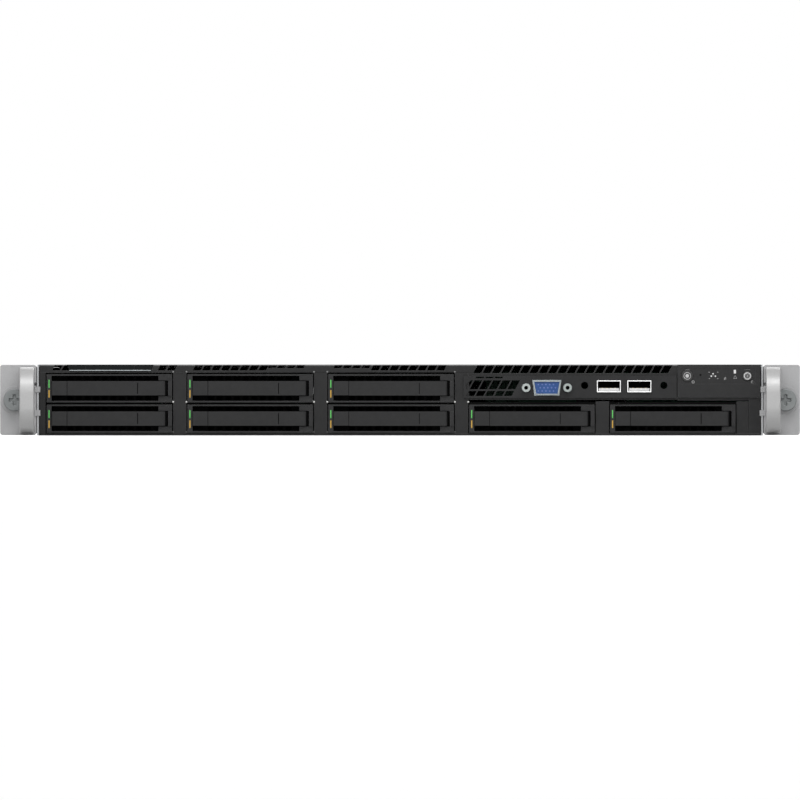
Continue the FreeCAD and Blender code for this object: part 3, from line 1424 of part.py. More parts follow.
def network_jacks():
    """Three network jacks in a row on the board's rear edge."""
    jack = rear_jack()
    return group("network_jacks", [
        group(f"network_jack_{index + 1}", [jack], f"rear_jack_x + {index} * rear_jack_pitch", "0", BOARD_TOP)
        for index in range(3)])


def riser_cards():
    """Two risers: a bracketed blank in the rear window and the slotted card above the board."""
    members = []
    for index in range(2):
        left = f"(riser_first_x + {index} * riser_pitch)"
        right = f"({left} + riser_width)"
        blank = new_body(f"slot_blank_{index + 1}")
        face = f"({REAR_INNER} - riser_blank)"
        solid(blank, "front", face, REAR_INNER, rect(left, right, "riser_low", "riser_high"))
        air_left = f"({left} + blank_slot_margin)"
        air = cut(blank, "front", face, REAR_INNER, rect(
            air_left, f"{air_left} + blank_slot_width",
            "riser_low + blank_slot_end", "riser_high - blank_slot_end"))
        repeat(blank, air, "X", "blank_slot_pitch", "blank_slots")
        card_back = f"({face} - riser_foot_length)"
        solid(blank, "top", "riser_low", "riser_low + riser_blank", rect(
            left, f"{left} + riser_foot_width", card_back, face))
        card = new_body(f"riser_card_{index + 1}")
        front = f"({card_back} - riser_card_length)"
        spot = f"({left} + riser_card_x)"
        solid(card, "side", spot, f"{spot} + board_thick", rect(front, card_back, BOARD_TOP, "riser_high"))
        solid(card, "side", f"{spot} + board_thick", f"{spot} + board_thick + riser_slot_height", rect(
            f"{front} + riser_slot_start", f"{front} + riser_slot_start + riser_slot_width",
            "riser_slot_z", "riser_slot_z + riser_slot_depth"))
        members += [blank, card]
    return group("riser_cards", members)


def rail_studs():
    """The headed studs on both sides that the slide rails hook over."""
    stud = new_body("rail_stud")
    side = TRAY_SIDE
    rod(stud, "side", side, f"{side} + stud_neck_length", "0", "0", "stud_neck_radius")
    rod(stud, "side", f"{side} + stud_neck_length", f"{side} + stud_neck_length + stud_head_length", "0", "0",
        "stud_head_radius")
    members = []
    for index in range(int(value("studs_each"))):
        spot = f"stud_first_y + {index} * stud_pitch"
        members.append(group(f"right_stud_{index + 1}", [stud], "0", spot))
        members.append(turned(f"left_stud_{index + 1}", [stud], "0", spot, "0"))
    return group("rail_studs", members)


def bay_nodes():
    """Carrier, lever and release again in each of the eight bays."""
    carrier_solids = [carrier_frame(), drive()] + light_pipes()
    lever, release = carrier_lever(), lever_release()
    nodes = []
    for index, (column, row) in enumerate(BAYS, start=1):
        spot = bay_x(column), "0", row_z(row)
        nodes.append(group(f"drive_carrier_{index}", carrier_solids, *spot))
        nodes.append(group(f"carrier_lever_{index}", [lever], *spot))
        nodes.append(group(f"lever_release_{index}", [release], *spot))
    return nodes


def all_nodes():
    """Every sub-part of the server."""
    (vga, rear_display), usb = vga_parts(), usb_parts()
    case, latch = power_supply_parts(), supply_latch()
    seat = "-panel_front + lid_gap"
    nodes = [group("chassis_tray", [tray_sheet(), rear_wall()]), top_cover(), front_panel(), drive_cage(),
             io_panel(), control_panel(), push_button("power_button", "power"), push_button("id_button", "ident"),
             tag_tray()]
    for name, side in (("left", -1), ("right", 1)):
        nodes += [ear(f"{name}_ear", side), handle(f"{name}_handle", side), rack_screw(f"{name}_rack_screw", side)]
    nodes.append(group("vga_port", vga, "vga_x", seat, "vga_z"))
    nodes.append(group("usb_ports", [
        group(f"front_usb_{index + 1}", usb, f"usb_first_x + {index} * usb_pitch", f"{seat} - io_sheet", "usb_z")
        for index in range(2)]))
    nodes += bay_nodes()
    nodes += [drive_backplane(), system_board(rear_display, usb), heatsinks(), memory_modules(), air_duct(),
              riser_cards(), network_jacks(), rail_studs()]
    nodes += fans()
    for index in range(2):
        middle = f"psu_first_x + {index} * psu_pitch"
        nodes.append(group(f"power_supply_{index + 1}", [case], middle))
        nodes.append(group(f"psu_latch_{index + 1}", [latch], middle))
    return nodes


def check_and_write(nodes):
    """Stop on any failed object, idle cut or broken shape, then write one file a node."""
    for item in doc.Objects:
        if "Invalid" in item.State or "Error" in item.State:
            raise RuntimeError(f"{item.Label} failed: {item.State}")
        if item.TypeId == "PartDesign::Pocket" and item.BaseFeature.Shape.Volume - item.Shape.Volume < 1e-4:
            raise RuntimeError(f"{item.Label} cuts nothing")
    for node in nodes:
        if node.Shape.isNull() or not node.Shape.isValid() or not node.Shape.Solids:
            raise RuntimeError(f"{node.Label} has no valid solid")
    os.makedirs("parts", exist_ok=True)
    for node in nodes:
        node.Shape.exportStep(f"parts/{node.Label}.step")


nodes = all_nodes()
doc.recompute()
check_and_write(nodes)
print(len(nodes), "nodes written")
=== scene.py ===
import json
import math

import bmesh
import bpy
from mathutils import Euler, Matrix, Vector
from mathutils.bvhtree import BVHTree

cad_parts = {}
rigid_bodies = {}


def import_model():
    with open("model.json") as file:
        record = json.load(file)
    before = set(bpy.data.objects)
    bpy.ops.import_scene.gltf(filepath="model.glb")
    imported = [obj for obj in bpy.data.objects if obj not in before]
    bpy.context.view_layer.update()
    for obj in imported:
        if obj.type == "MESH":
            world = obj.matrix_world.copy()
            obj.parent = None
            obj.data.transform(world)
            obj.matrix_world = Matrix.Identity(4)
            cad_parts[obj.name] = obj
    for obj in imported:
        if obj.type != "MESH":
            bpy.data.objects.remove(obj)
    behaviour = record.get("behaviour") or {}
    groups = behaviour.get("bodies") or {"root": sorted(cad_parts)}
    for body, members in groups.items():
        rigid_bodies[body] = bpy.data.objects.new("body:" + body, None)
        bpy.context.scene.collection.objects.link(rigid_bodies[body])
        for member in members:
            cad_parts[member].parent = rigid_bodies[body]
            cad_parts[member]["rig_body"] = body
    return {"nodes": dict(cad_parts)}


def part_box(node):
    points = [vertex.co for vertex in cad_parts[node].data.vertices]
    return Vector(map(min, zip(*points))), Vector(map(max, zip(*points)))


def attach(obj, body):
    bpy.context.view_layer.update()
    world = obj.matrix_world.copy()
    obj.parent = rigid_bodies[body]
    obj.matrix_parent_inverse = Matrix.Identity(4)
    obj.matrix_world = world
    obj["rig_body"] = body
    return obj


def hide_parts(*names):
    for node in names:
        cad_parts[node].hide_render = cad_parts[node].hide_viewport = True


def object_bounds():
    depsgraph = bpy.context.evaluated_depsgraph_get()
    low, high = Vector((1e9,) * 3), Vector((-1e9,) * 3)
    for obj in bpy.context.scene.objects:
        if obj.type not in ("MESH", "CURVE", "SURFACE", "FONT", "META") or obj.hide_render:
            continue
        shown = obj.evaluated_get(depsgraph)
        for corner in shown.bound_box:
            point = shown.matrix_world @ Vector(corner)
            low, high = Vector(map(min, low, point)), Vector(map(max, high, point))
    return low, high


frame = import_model()
cad_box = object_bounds()

# The studio is white all round, as in a catalogue picture. A long lens looks level at the front from
# far off. A wide softbox hangs above and ahead of the server, with weaker ones in front and behind.
MM = 0.001
FRONT_WIDTH = 0.4828
VIEW_DISTANCE = 20.0
SENSOR = 36.0
lens = bpy.data.cameras.new("front_lens")
lens.type = "PERSP"
lens.sensor_width = SENSOR
lens.lens = SENSOR * VIEW_DISTANCE / FRONT_WIDTH
lens.clip_end = 100.0
camera = bpy.data.objects.new("front_camera", lens)
camera.location = (0.0, -VIEW_DISTANCE, 0.0)
camera.rotation_euler = (math.pi / 2, 0.0, 0.0)
bpy.context.scene.collection.objects.link(camera)
bpy.context.scene.camera = camera
bpy.context.scene.view_settings.view_transform = "Standard"


def softbox(name, place, target, width, height, power):
    """A rectangular lamp at a place, turned to face a target."""
    light = bpy.data.lights.new(name, "AREA")
    light.shape = "RECTANGLE"
    light.size = width
    light.size_y = height
    light.energy = power
    lamp = bpy.data.objects.new(name, light)
    lamp.location = place
    lamp.rotation_euler = (Vector(target) - Vector(place)).to_track_quat("-Z", "Y").to_euler()
    bpy.context.scene.collection.objects.link(lamp)


softbox("overhead_softbox", (0.0, -1.1, 1.45), (0.0, 0.1, 0.0), 2.4, 0.7, 28.0)
softbox("front_fill", (0.0, -3.0, 0.9), (0.0, 0.0, 0.0), 2.6, 1.2, 14.0)
softbox("rear_softbox", (0.3, 2.6, 1.4), (0.0, 0.5, 0.0), 2.0, 1.0, 14.0)

WORLD_FILL = 0.42
world = bpy.data.worlds.new("white_surround")
bpy.context.scene.world = world
world.use_nodes = True
sky = world.node_tree
sky.nodes.clear()
rays = sky.nodes.new("ShaderNodeLightPath")
seen = sky.nodes.new("ShaderNodeMath")
seen.operation = "MAXIMUM"
mirrored = sky.nodes.new("ShaderNodeMath")
mirrored.operation = "MAXIMUM"
sky.links.new(rays.outputs["Is Camera Ray"], seen.inputs[0])
sky.links.new(rays.outputs["Is Transmission Ray"], seen.inputs[1])
sky.links.new(seen.outputs[0], mirrored.inputs[0])
sky.links.new(rays.outputs["Is Glossy Ray"], mirrored.inputs[1])
fill = sky.nodes.new("ShaderNodeBackground")
fill.inputs["Color"].default_value = (1.0, 1.0, 1.0, 1.0)
fill.inputs["Strength"].default_value = WORLD_FILL
backdrop = sky.nodes.new("ShaderNodeBackground")
backdrop.inputs["Color"].default_value = (1.0, 1.0, 1.0, 1.0)
backdrop.inputs["Strength"].default_value = 1.0
either = sky.nodes.new("ShaderNodeMixShader")
surround = sky.nodes.new("ShaderNodeOutputWorld")
sky.links.new(mirrored.outputs[0], either.inputs[0])
sky.links.new(fill.outputs[0], either.inputs[1])
sky.links.new(backdrop.outputs[0], either.inputs[2])
sky.links.new(either.outputs[0], surround.inputs["Surface"])

# The floor is a white sheet that the server rests on, wide enough for every view. It glows a little to
# the camera, so that it reads as white paper and still holds the server's shadow.
FLOOR_HALF = 30.0
FLOOR_DROP = 0.0002
FLOOR_GLOW = 0.6
sweep = bmesh.new()
bmesh.ops.create_grid(sweep, x_segments=1, y_segments=1, size=FLOOR_HALF)
bmesh.ops.translate(sweep, verts=sweep.verts, vec=(0.0, 0.0, cad_box[0].z - FLOOR_DROP))
floor_mesh = bpy.data.meshes.new("studio_floor")
sweep.to_mesh(floor_mesh)
sweep.free()
floor = bpy.data.objects.new("studio_floor", floor_mesh)
bpy.context.scene.collection.objects.link(floor)
paper = bpy.data.materials.new("white_paper")
paper.use_nodes = True
tree = paper.node_tree
tree.nodes["Principled BSDF"].inputs["Base Color"].default_value = (0.8, 0.8, 0.8, 1.0)
tree.nodes["Principled BSDF"].inputs["Roughness"].default_value = 0.9
tree.nodes["Principled BSDF"].inputs["Emission Color"].default_value = (1.0, 1.0, 1.0, 1.0)
path = tree.nodes.new("ShaderNodeLightPath")
glow = tree.nodes.new("ShaderNodeMath")
glow.operation = "MULTIPLY"
glow.inputs[1].default_value = FLOOR_GLOW
tree.links.new(path.outputs["Is Camera Ray"], glow.inputs[0])
tree.links.new(glow.outputs[0], tree.nodes["Principled BSDF"].inputs["Emission Strength"])
floor_mesh.materials.append(paper)

# The tray is zinc-plated steel sheet, folded up at both sides and closed by the punched rear wall.
# Its plating has a soft grain, with the sheen a little cloudy from place to place. Small domed screws
# stand along both sides.


def finish_nodes(name, metal=0.0, coat=0.0):
    """A new material with its shader, ready for the piece's own pattern."""
    material = bpy.data.materials.new(name)
    material.use_nodes = True
    shader = material.node_tree.nodes["Principled BSDF"]
    shader.inputs["Metallic"].default_value = metal
    shader.inputs["Coat Weight"].default_value = coat
    return material, material.node_tree, shader


def grain(tree, scale, detail, stretch=(1.0, 1.0, 1.0)):
    """A noise on the object's own coordinates, stretched along the way the surface was worked."""
    spots = tree.nodes.new("ShaderNodeTexCoord")
    mapping = tree.nodes.new("ShaderNodeMapping")
    mapping.inputs["Scale"].default_value = stretch
    noise = tree.nodes.new("ShaderNodeTexNoise")
    noise.inputs["Scale"].default_value = scale
    noise.inputs["Detail"].default_value = detail
    tree.links.new(spots.outputs["Object"], mapping.inputs["Vector"])
    tree.links.new(mapping.outputs["Vector"], noise.inputs["Vector"])
    return noise.outputs["Fac"]


NOISE_LOW = 0.3
NOISE_HIGH = 0.7


def spread(tree, factor, low, high):
    """A pattern's middle range turned into numbers from low to high."""
    ramp = tree.nodes.new("ShaderNodeMapRange")
    ramp.inputs["From Min"].default_value = NOISE_LOW
    ramp.inputs["From Max"].default_value = NOISE_HIGH
    ramp.inputs["To Min"].default_value = low
    ramp.inputs["To Max"].default_value = high
    tree.links.new(factor, ramp.inputs["Value"])
    return ramp.outputs["Result"]


def tones(tree, factor, dark, light):
    """A pattern's middle range turned into colours between two tones."""
    ramp = tree.nodes.new("ShaderNodeValToRGB")
    ramp.color_ramp.elements[0].position = NOISE_LOW
    ramp.color_ramp.elements[1].position = NOISE_HIGH
    ramp.color_ramp.elements[0].color = (*dark, 1.0)
    ramp.color_ramp.elements[1].color = (*light, 1.0)
    tree.links.new(factor, ramp.inputs["Fac"])
    return ramp.outputs["Color"]


def relief(tree, shader, height, depth, strength=1.0):
    """A shallow bump in metres from a pattern."""
    bump = tree.nodes.new("ShaderNodeBump")
    bump.inputs["Distance"].default_value = depth
    bump.inputs["Strength"].default_value = strength
    tree.links.new(height, bump.inputs["Height"])
    tree.links.new(bump.outputs["Normal"], shader.inputs["Normal"])


def plated_steel(name, dark, light, low=0.26, high=0.4, stretch=(1.0, 1.0, 1.0)):
    """Zinc-plated sheet: cloudy sheen, faint spangle and a fine rolled grain."""
    material, tree, shader = finish_nodes(name, metal=1.0)
    tree.links.new(tones(tree, grain(tree, 22.0, 4.0), dark, light), shader.inputs["Base Color"])
    tree.links.new(spread(tree, grain(tree, 60.0, 5.0, stretch), low, high), shader.inputs["Roughness"])
    relief(tree, shader, grain(tree, 900.0, 3.0, stretch), 0.00004, 0.35)
    return material


SHARP = math.radians(32)
ROUND = math.radians(50)


def soften(work, offset, painted_highlight=None, kept=()):
    """Break the outer edges by a small radius, and give the painted highlight to what is broken."""
    sharp = [edge for edge in work.edges
             if edge.is_manifold and edge.is_convex
             and edge.calc_face_angle(0.0) > SHARP and edge not in kept]
    if offset:
        broken = bmesh.ops.bevel(work, geom=sharp, offset=offset, offset_type="OFFSET", affect="EDGES",
                                 segments=2, profile=0.5, material=-1, clamp_overlap=True)
        for face in broken["faces"]:
            if painted_highlight is not None and face.material_index == 0:
                face.material_index = painted_highlight
    for edge in work.edges:
        edge.smooth = edge.is_manifold and edge.calc_face_angle(0.0) < ROUND
    for face in work.faces:
        face.smooth = True


def show(name, work, body, materials):
    """The mesh as a piece of its own that moves with a body."""
    mesh = bpy.data.meshes.new(name)
    work.to_mesh(mesh)
    work.free()
    piece = bpy.data.objects.new(name, mesh)
    bpy.context.scene.collection.objects.link(piece)
    for material in materials:
        mesh.materials.append(material)
    piece.modifiers.new("even_shading", "WEIGHTED_NORMAL").keep_sharp = True
    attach(piece, body)
    return piece


def loose_solids(work):
    """The separate solids of a mesh, each with its lowest and highest corner."""
    for face in work.faces:
        face.tag = False
    for seed in work.faces:
        if seed.tag:
            continue
        seed.tag = True
        reached = [seed]
        for face in reached:
            for other in (near for edge in face.edges for near in edge.link_faces if not near.tag):
                other.tag = True
                reached.append(other)
        spots = [vert.co for face in reached for vert in face.verts]
        low = Vector([min(spot[axis] for spot in spots) for axis in range(3)])
        high = Vector([max(spot[axis] for spot in spots) for axis in range(3)])
        yield reached, low, high


TOUCHING = 0.00002


def seams(work):
    """The edges where one solid of a mesh lies against another, which stay sharp so that no seam shows."""
    owner = {}
    for number, (solid, low, high) in enumerate(loose_solids(work)):
        for face in solid:
            owner[face.index] = number
    nearby = BVHTree.FromBMesh(work, epsilon=0.0)
    return {edge for edge in work.edges if any(
        owner[hit[2]] != owner[edge.link_faces[0].index]
        for share in (0.1, 0.5, 0.9)
        for hit in nearby.find_nearest_range(edge.verts[0].co.lerp(edge.verts[1].co, share), TOUCHING))}


MERGED = 0.000002
FLAT = math.radians(0.6)


def dress(node, soft, materials, pick=None, painted_highlight=None, welded=False):
    """The solid again with its edges broken by a small radius, standing for the plain one.

    Where its solids are sheets welded to each other, the edges along their seams stay as they are.
    """
    source = frame["nodes"][node]
    work = bmesh.new()
    work.from_mesh(source.data)
    bmesh.ops.remove_doubles(work, verts=work.verts, dist=MERGED)
    bmesh.ops.dissolve_limit(work, angle_limit=FLAT, verts=work.verts, edges=work.edges,
                             use_dissolve_boundaries=False, delimit={"NORMAL"})
    work.normal_update()
    if pick:
        for solid, low, high in loose_solids(work):
            for face in solid:
                face.material_index = pick(low, high, face)
    work.faces.index_update()
    soften(work, soft, painted_highlight, seams(work) if welded else ())
    piece = show(f"{node}_finished", work, source["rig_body"], materials)
    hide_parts(node)


def close_and_soften(work, offset):
    """Turn the faces outwards and break the edges."""
    bmesh.ops.recalc_face_normals(work, faces=work.faces)
    soften(work, offset)


HEAD_CROWN = 0.72
SOCKET_RIM = 0.3
SOCKET_DEPTH = 0.6


def screw_head(work, spot, way, radius, height):
    """A low domed screw head on a face, with a round socket sunk in it, in millimetres."""
    seat = bmesh.ops.create_cone(work, cap_ends=True, segments=24, radius1=radius * MM,
                                 radius2=radius * HEAD_CROWN * MM, depth=height * MM)["verts"]
    crown = max(vert.co.z for vert in seat)
    lid = next(face for face in {face for vert in seat for face in vert.link_faces}
               if all(abs(vert.co.z - crown) < 1e-7 for vert in face.verts))
    inner = bmesh.ops.inset_region(work, faces=[lid], thickness=radius * SOCKET_RIM * MM, depth=0.0)
    sunk = bmesh.ops.extrude_discrete_faces(work, faces=[lid])["faces"][0]
    bmesh.ops.translate(work, vec=(0.0, 0.0, -height * SOCKET_DEPTH * MM), verts=sunk.verts)
    head = list({vert for face in inner["faces"] for vert in face.verts} | set(seat) | set(sunk.verts))
    bmesh.ops.translate(work, vec=(0.0, 0.0, height / 2 * MM), verts=head)
    facing = Vector((0.0, 0.0, 1.0)).rotation_difference(Vector(way)).to_matrix()
    bmesh.ops.rotate(work, cent=(0.0, 0.0, 0.0), matrix=facing, verts=head)
    bmesh.ops.translate(work, vec=[value * MM for value in spot], verts=head)


tray_steel = plated_steel("tray_zinc", (0.46, 0.47, 0.48), (0.54, 0.55, 0.56), 0.32, 0.46)
screw_steel = plated_steel("screw_zinc", (0.17, 0.18, 0.18), (0.23, 0.24, 0.24), 0.34, 0.5)
dress("chassis_tray", 0.00015, [tray_steel])
TRAY_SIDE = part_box("chassis_tray")[1].x / MM
SIDE_SCREWS = [(40.0, 12.0), (130.0, -14.0), (320.0, -14.0), (400.0, 14.0), (560.0, -14.0), (690.0, 12.0)]
heads = bmesh.new()
for side in (-1, 1):
    for along, up in SIDE_SCREWS:
        screw_head(heads, (side * TRAY_SIDE, along, up), (side, 0.0, 0.0), 2.2, 0.9)
close_and_soften(heads, 0.0)
show("side_screws", heads, "chassis", [screw_steel])

# The lid is the same plated sheet, rolled along its depth. Two shallow thumb pads are pressed near its
# rear edge, where it is pushed back to come off.
ROLLED = (1.0, 0.08, 1.0)
lid_steel = plated_steel("lid_zinc", (0.285, 0.295, 0.30), (0.315, 0.325, 0.33), 0.46, 0.52, ROLLED)
dress("top_cover", 0.0002, [lid_steel])

# The front frame and the plate with the ports are steel sheet with a black powder coat. A painted highlight
# lies along their punched and broken edges, and a brighter painted highlight over the bend that meets the
# lid.


def powder_coat(name, dark, light, rough=0.5, sheen=0.25):
    """Powder-coated sheet: the faint orange peel of a baked coat."""
    material, tree, shader = finish_nodes(name)
    shader.inputs["Specular IOR Level"].default_value = sheen
    tree.links.new(tones(tree, grain(tree, 130.0, 3.0), dark, light), shader.inputs["Base Color"])
    tree.links.new(spread(tree, grain(tree, 300.0, 2.0), rough - 0.06, rough + 0.08),
                   shader.inputs["Roughness"])
    relief(tree, shader, grain(tree, 2400.0, 2.0), 0.00004, 0.5)
    return material


BEND_TILT = 0.15
BEND_HEIGHT = 20.3


def front_finish(low, high, face):
    """The painted highlight over the bend along the top edge, or the plain coat."""
    spot = face.calc_center_median()
    return 2 if face.normal.z > BEND_TILT and spot.z > BEND_HEIGHT * MM and spot.y < 0.0 else 0


front_black = powder_coat("front_black_coat", (0.0105, 0.0105, 0.0108), (0.0135, 0.0135, 0.0138))
# A painted highlight, lighter than the coat, on the broken edges of the front frame and the port plate.
coat_edge_highlight = powder_coat("coat_edge_painted_highlight", (0.085, 0.085, 0.086), (0.12, 0.12, 0.121), 0.36)
# A brighter painted highlight on the upward faces over the bend along the frame's top edge.
bend_highlight = powder_coat("coat_bend_painted_highlight", (0.10, 0.10, 0.101), (0.13, 0.13, 0.131), 0.42)
dress("front_panel", 0.00022, [front_black, coat_edge_highlight, bend_highlight], front_finish, painted_highlight=1, welded=True)
io_black = powder_coat("port_plate_coat", (0.0115, 0.0115, 0.012), (0.015, 0.015, 0.0155))
dress("io_panel", 0.0002, [io_black, coat_edge_highlight], painted_highlight=1)

# The drive cage is spot-welded steel with a thin black coat, made darker than the front's coat and almost
# without sheen as painted shade in the bays. Small tabs of its bare sheet show at the corners of the bays,
# in tones of painted light: brightest between the rows, dim at the top and darkest at the bottom.


def brick(work, low, high):
    """A block between two corners, given in millimetres."""
    made = bmesh.ops.create_cube(work, size=1.0)["verts"]
    size = [(high[axis] - low[axis]) * MM for axis in range(3)]
    middle = [(high[axis] + low[axis]) / 2 * MM for axis in range(3)]
    bmesh.ops.scale(work, vec=size, verts=made)
    bmesh.ops.translate(work, vec=middle, verts=made)
    return made


TAB = 1.2
TAB_FRONT = -4.0
TAB_BACK = -2.9
UPPER_BAYS = (0, 2, 4)
TAB_STARTS = (0.1, 8.15)
TAB_SHADE = 0.85
BETWEEN_ROWS = -1.2
# The tabs at all three levels are one bare steel; their different tones are painted light.
TAB_LEVELS_AND_PAINTED_LIGHT = ((16.9, (0.14, 0.14, 0.14)), (BETWEEN_ROWS, (0.42, 0.42, 0.41)), (-19.4, (0.06, 0.06, 0.06)))
# The cage's near-black with almost no sheen is painted shade, darker than the front's black coat.
cage_black_and_shade = powder_coat("cage_coat_and_painted_shade", (0.003, 0.003, 0.003), (0.005, 0.005, 0.005), 0.6, 0.06)
dress("drive_cage", 0.0001, [cage_black_and_shade])
bays = [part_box(f"drive_carrier_{number}") for number in range(1, 9)]
for up, lit_tone in TAB_LEVELS_AND_PAINTED_LIGHT:
    shade = tuple(TAB_SHADE * part for part in lit_tone)
    bare = plated_steel(f"tab_painted_light_{int(abs(up))}", shade, lit_tone, 0.3, 0.45)
    tabs = bmesh.new()
    for bay in UPPER_BAYS:
        pair = bay != UPPER_BAYS[-1] or up == BETWEEN_ROWS
        for start in TAB_STARTS if pair else TAB_STARTS[:1]:
            left = bays[bay][1].x / MM + start
            brick(tabs, (left, TAB_FRONT, up - TAB / 2), (left + TAB, TAB_BACK, up + TAB / 2))
    close_and_soften(tabs, 0.0002)
    show(f"cage_tabs_{int(abs(up))}", tabs, "chassis", [bare])

# Each drive carrier is a black glass-filled moulding with the fine grain of a spark-eroded tool. A painted
# highlight lies along its rim, and painted shade fills the inside of its bezel and the drive's front behind
# it. Two light pipes stand at its left edge, the green one above the amber one.


def moulded(name, dark, light, rough=0.5, sheen=0.3):
    """A moulding with the fine grain of a spark-eroded tool."""
    material, tree, shader = finish_nodes(name)
    shader.inputs["Specular IOR Level"].default_value = sheen
    tree.links.new(tones(tree, grain(tree, 220.0, 3.0), dark, light), shader.inputs["Base Color"])
    tree.links.new(spread(tree, grain(tree, 800.0, 2.0), rough - 0.05, rough + 0.08),
                   shader.inputs["Roughness"])
    relief(tree, shader, grain(tree, 5200.0, 2.0), 0.00003, 0.6)
    return material


def lamp_glass(name, colour, strength):
    """A light pipe lit from inside, brighter in some places than in others."""
    material, tree, shader = finish_nodes(name, coat=0.4)
    shader.inputs["Base Color"].default_value = (*colour, 1.0)
    shader.inputs["Roughness"].default_value = 0.3
    shader.inputs["Emission Color"].default_value = (*colour, 1.0)
    tree.links.new(spread(tree, grain(tree, 500.0, 1.0), strength * 0.7, strength),
                   shader.inputs["Emission Strength"])
    return material


PIPE_WIDEST = 1.5
BEZEL_DEPTH = 11.0
DRIVE_FRONT = 14.0
BAND_DEPTH = 0.4
FACING = 0.9


def carrier_finish(middle):
    """Which finish each of a carrier's solids takes: the moulding, the drive, a light pipe, or the painted
    shade inside its bezel and on the drive's front.
    """
    def pick(low, high, face):
        if high.x - low.x < PIPE_WIDEST * MM:
            return 3 if (high.z + low.z) / 2 > middle else 4
        if low.y > DRIVE_FRONT * MM:
            return 2 if face.normal.y < -FACING else 1
        return 2 if 0.0 < face.calc_center_median().y < BEZEL_DEPTH * MM else 0
    return pick


def lever_finish(low, high, face):
    """The lever's moulding, with painted shade in its groove and behind its band."""
    return 1 if face.calc_center_median().y > low.y + BAND_DEPTH * MM else 0


carrier_black = moulded("carrier_black", (0.0105, 0.0105, 0.011), (0.014, 0.014, 0.0145))
# A painted highlight on the broken edges of the carriers and the control panel.
moulding_edge_highlight = moulded("moulding_edge_painted_highlight", (0.10, 0.10, 0.101), (0.14, 0.14, 0.141), 0.4)
# Painted shade: a near-black with almost no sheen, laid inside the bezels, on the drives' fronts, in the
# lever grooves, in the ports' bores and at the reset pin hole.
painted_shade_black = moulded("carrier_shade", (0.003, 0.003, 0.003), (0.005, 0.005, 0.005), 0.7, 0.05)
drive_metal = plated_steel("drive_case", (0.24, 0.25, 0.255), (0.31, 0.32, 0.325), 0.42, 0.56)
green_lamp = lamp_glass("green_light_pipe", (0.006, 0.07, 0.008), 0.4)
amber_lamp = lamp_glass("amber_light_pipe", (0.12, 0.07, 0.006), 0.4)
green_core = lamp_glass("green_pipe_core", (0.07, 0.40, 0.07), 0.8)
amber_core = lamp_glass("amber_pipe_core", (0.42, 0.24, 0.02), 0.8)
lever_black = moulded("lever_black", (0.0088, 0.0088, 0.0092), (0.0115, 0.0115, 0.012), 0.45)
release_black = moulded("release_black", (0.0088, 0.0088, 0.0092), (0.0115, 0.0115, 0.012), 0.42)
carrier_finishes = [carrier_black, drive_metal, painted_shade_black, green_lamp, amber_lamp, moulding_edge_highlight]
CORE_LEFT = 1.25
CORE_RIGHT = 1.65
CORE_FRONT = -4.68
CORE_BACK = -4.5
CORE_SPANS = ((0.5, 5.0), (-5.5, -1.2))
for number, (low, high) in enumerate(bays, 1):
    dress(f"drive_carrier_{number}", 0.0003, carrier_finishes, carrier_finish((low.z + high.z) / 2), painted_highlight=5)
    dress(f"carrier_lever_{number}", 0.0003, [lever_black, painted_shade_black], lever_finish)
    dress(f"lever_release_{number}", 0.00025, [release_black, painted_shade_black], lever_finish)
    left, middle = low.x / MM, (low.z + high.z) / 2 / MM
    cores = bmesh.new()
    for index, (base, top) in enumerate(CORE_SPANS):
        made = brick(cores, (left + CORE_LEFT, CORE_FRONT, middle + base),
                     (left + CORE_RIGHT, CORE_BACK, middle + top))
        for face in {near for vert in made for near in vert.link_faces}:
            face.material_index = index
    close_and_soften(cores, 0.0)
    show(f"light_pipe_cores_{number}", cores, f"carrier_{number}",
         [green_core, amber_core])

# The ears are zinc castings in silver paint, and the handles are flat steel bows in the same paint. The
# rack screws that stand in the ears are plated steel.


def silver_paint(name, dark, light, rough=0.5):
    """Silver-grey paint: fine metal flake under a satin surface."""
    material, tree, shader = finish_nodes(name, metal=0.35)
    tree.links.new(tones(tree, grain(tree, 1800.0, 2.0), dark, light), shader.inputs["Base Color"])
    tree.links.new(spread(tree, grain(tree, 150.0, 3.0), rough - 0.04, rough + 0.05),
                   shader.inputs["Roughness"])
    relief(tree, shader, grain(tree, 1500.0, 2.0), 0.00003, 0.3)
    return material


ear_silver = silver_paint("ear_silver_paint", (0.33, 0.33, 0.335), (0.37, 0.37, 0.375))
handle_silver = silver_paint("handle_silver_paint", (0.36, 0.36, 0.36), (0.40, 0.40, 0.40), 0.44)
for side in ("left", "right"):
    dress(f"{side}_ear", 0.0003, [ear_silver])
    dress(f"{side}_handle", 0.0007, [handle_silver])
    dress(f"{side}_rack_screw", 0.0004, [screw_steel])

# The display port is a nickel-plated shell with a blue insert, held by its two jack screws. Fifteen
# contacts stand in it, in three rows.
TURNED = {"Y": (math.pi / 2, 0.0, 0.0), "Z": (0.0, 0.0, 0.0)}


def drum(work, axis, middle, radius, length, sides=24):
    """A round rod along an axis about its middle, in millimetres."""
    made = bmesh.ops.create_cone(work, cap_ends=True, segments=sides, radius1=radius * MM,
                                 radius2=radius * MM, depth=length * MM)["verts"]
    turn = Euler(TURNED[axis]).to_matrix()
    bmesh.ops.rotate(work, cent=(0.0, 0.0, 0.0), matrix=turn, verts=made)
    bmesh.ops.translate(work, vec=[value * MM for value in middle], verts=made)


JACK_SCREW_WIDEST = 6.0
JACK_SCREW_BORE = 1.25
INSERT_WIDEST = 16.0
INSERT_TALLEST = 7.5
PORT_RIM = 0.1


def port_finish(low, high, face):
    """The blue insert, the jack screws with painted shade in their threaded holes, or the shell."""
    if high.x - low.x < JACK_SCREW_WIDEST * MM:
        spot = face.calc_center_median()
        axis = (low + high) / 2
        reach = math.hypot(spot.x - axis.x, spot.z - axis.z)
        return 3 if reach < JACK_SCREW_BORE * MM and spot.y > low.y + PORT_RIM * MM else 2
    return 1 if high.z - low.z < INSERT_TALLEST * MM and high.x - low.x < INSERT_WIDEST * MM else 0


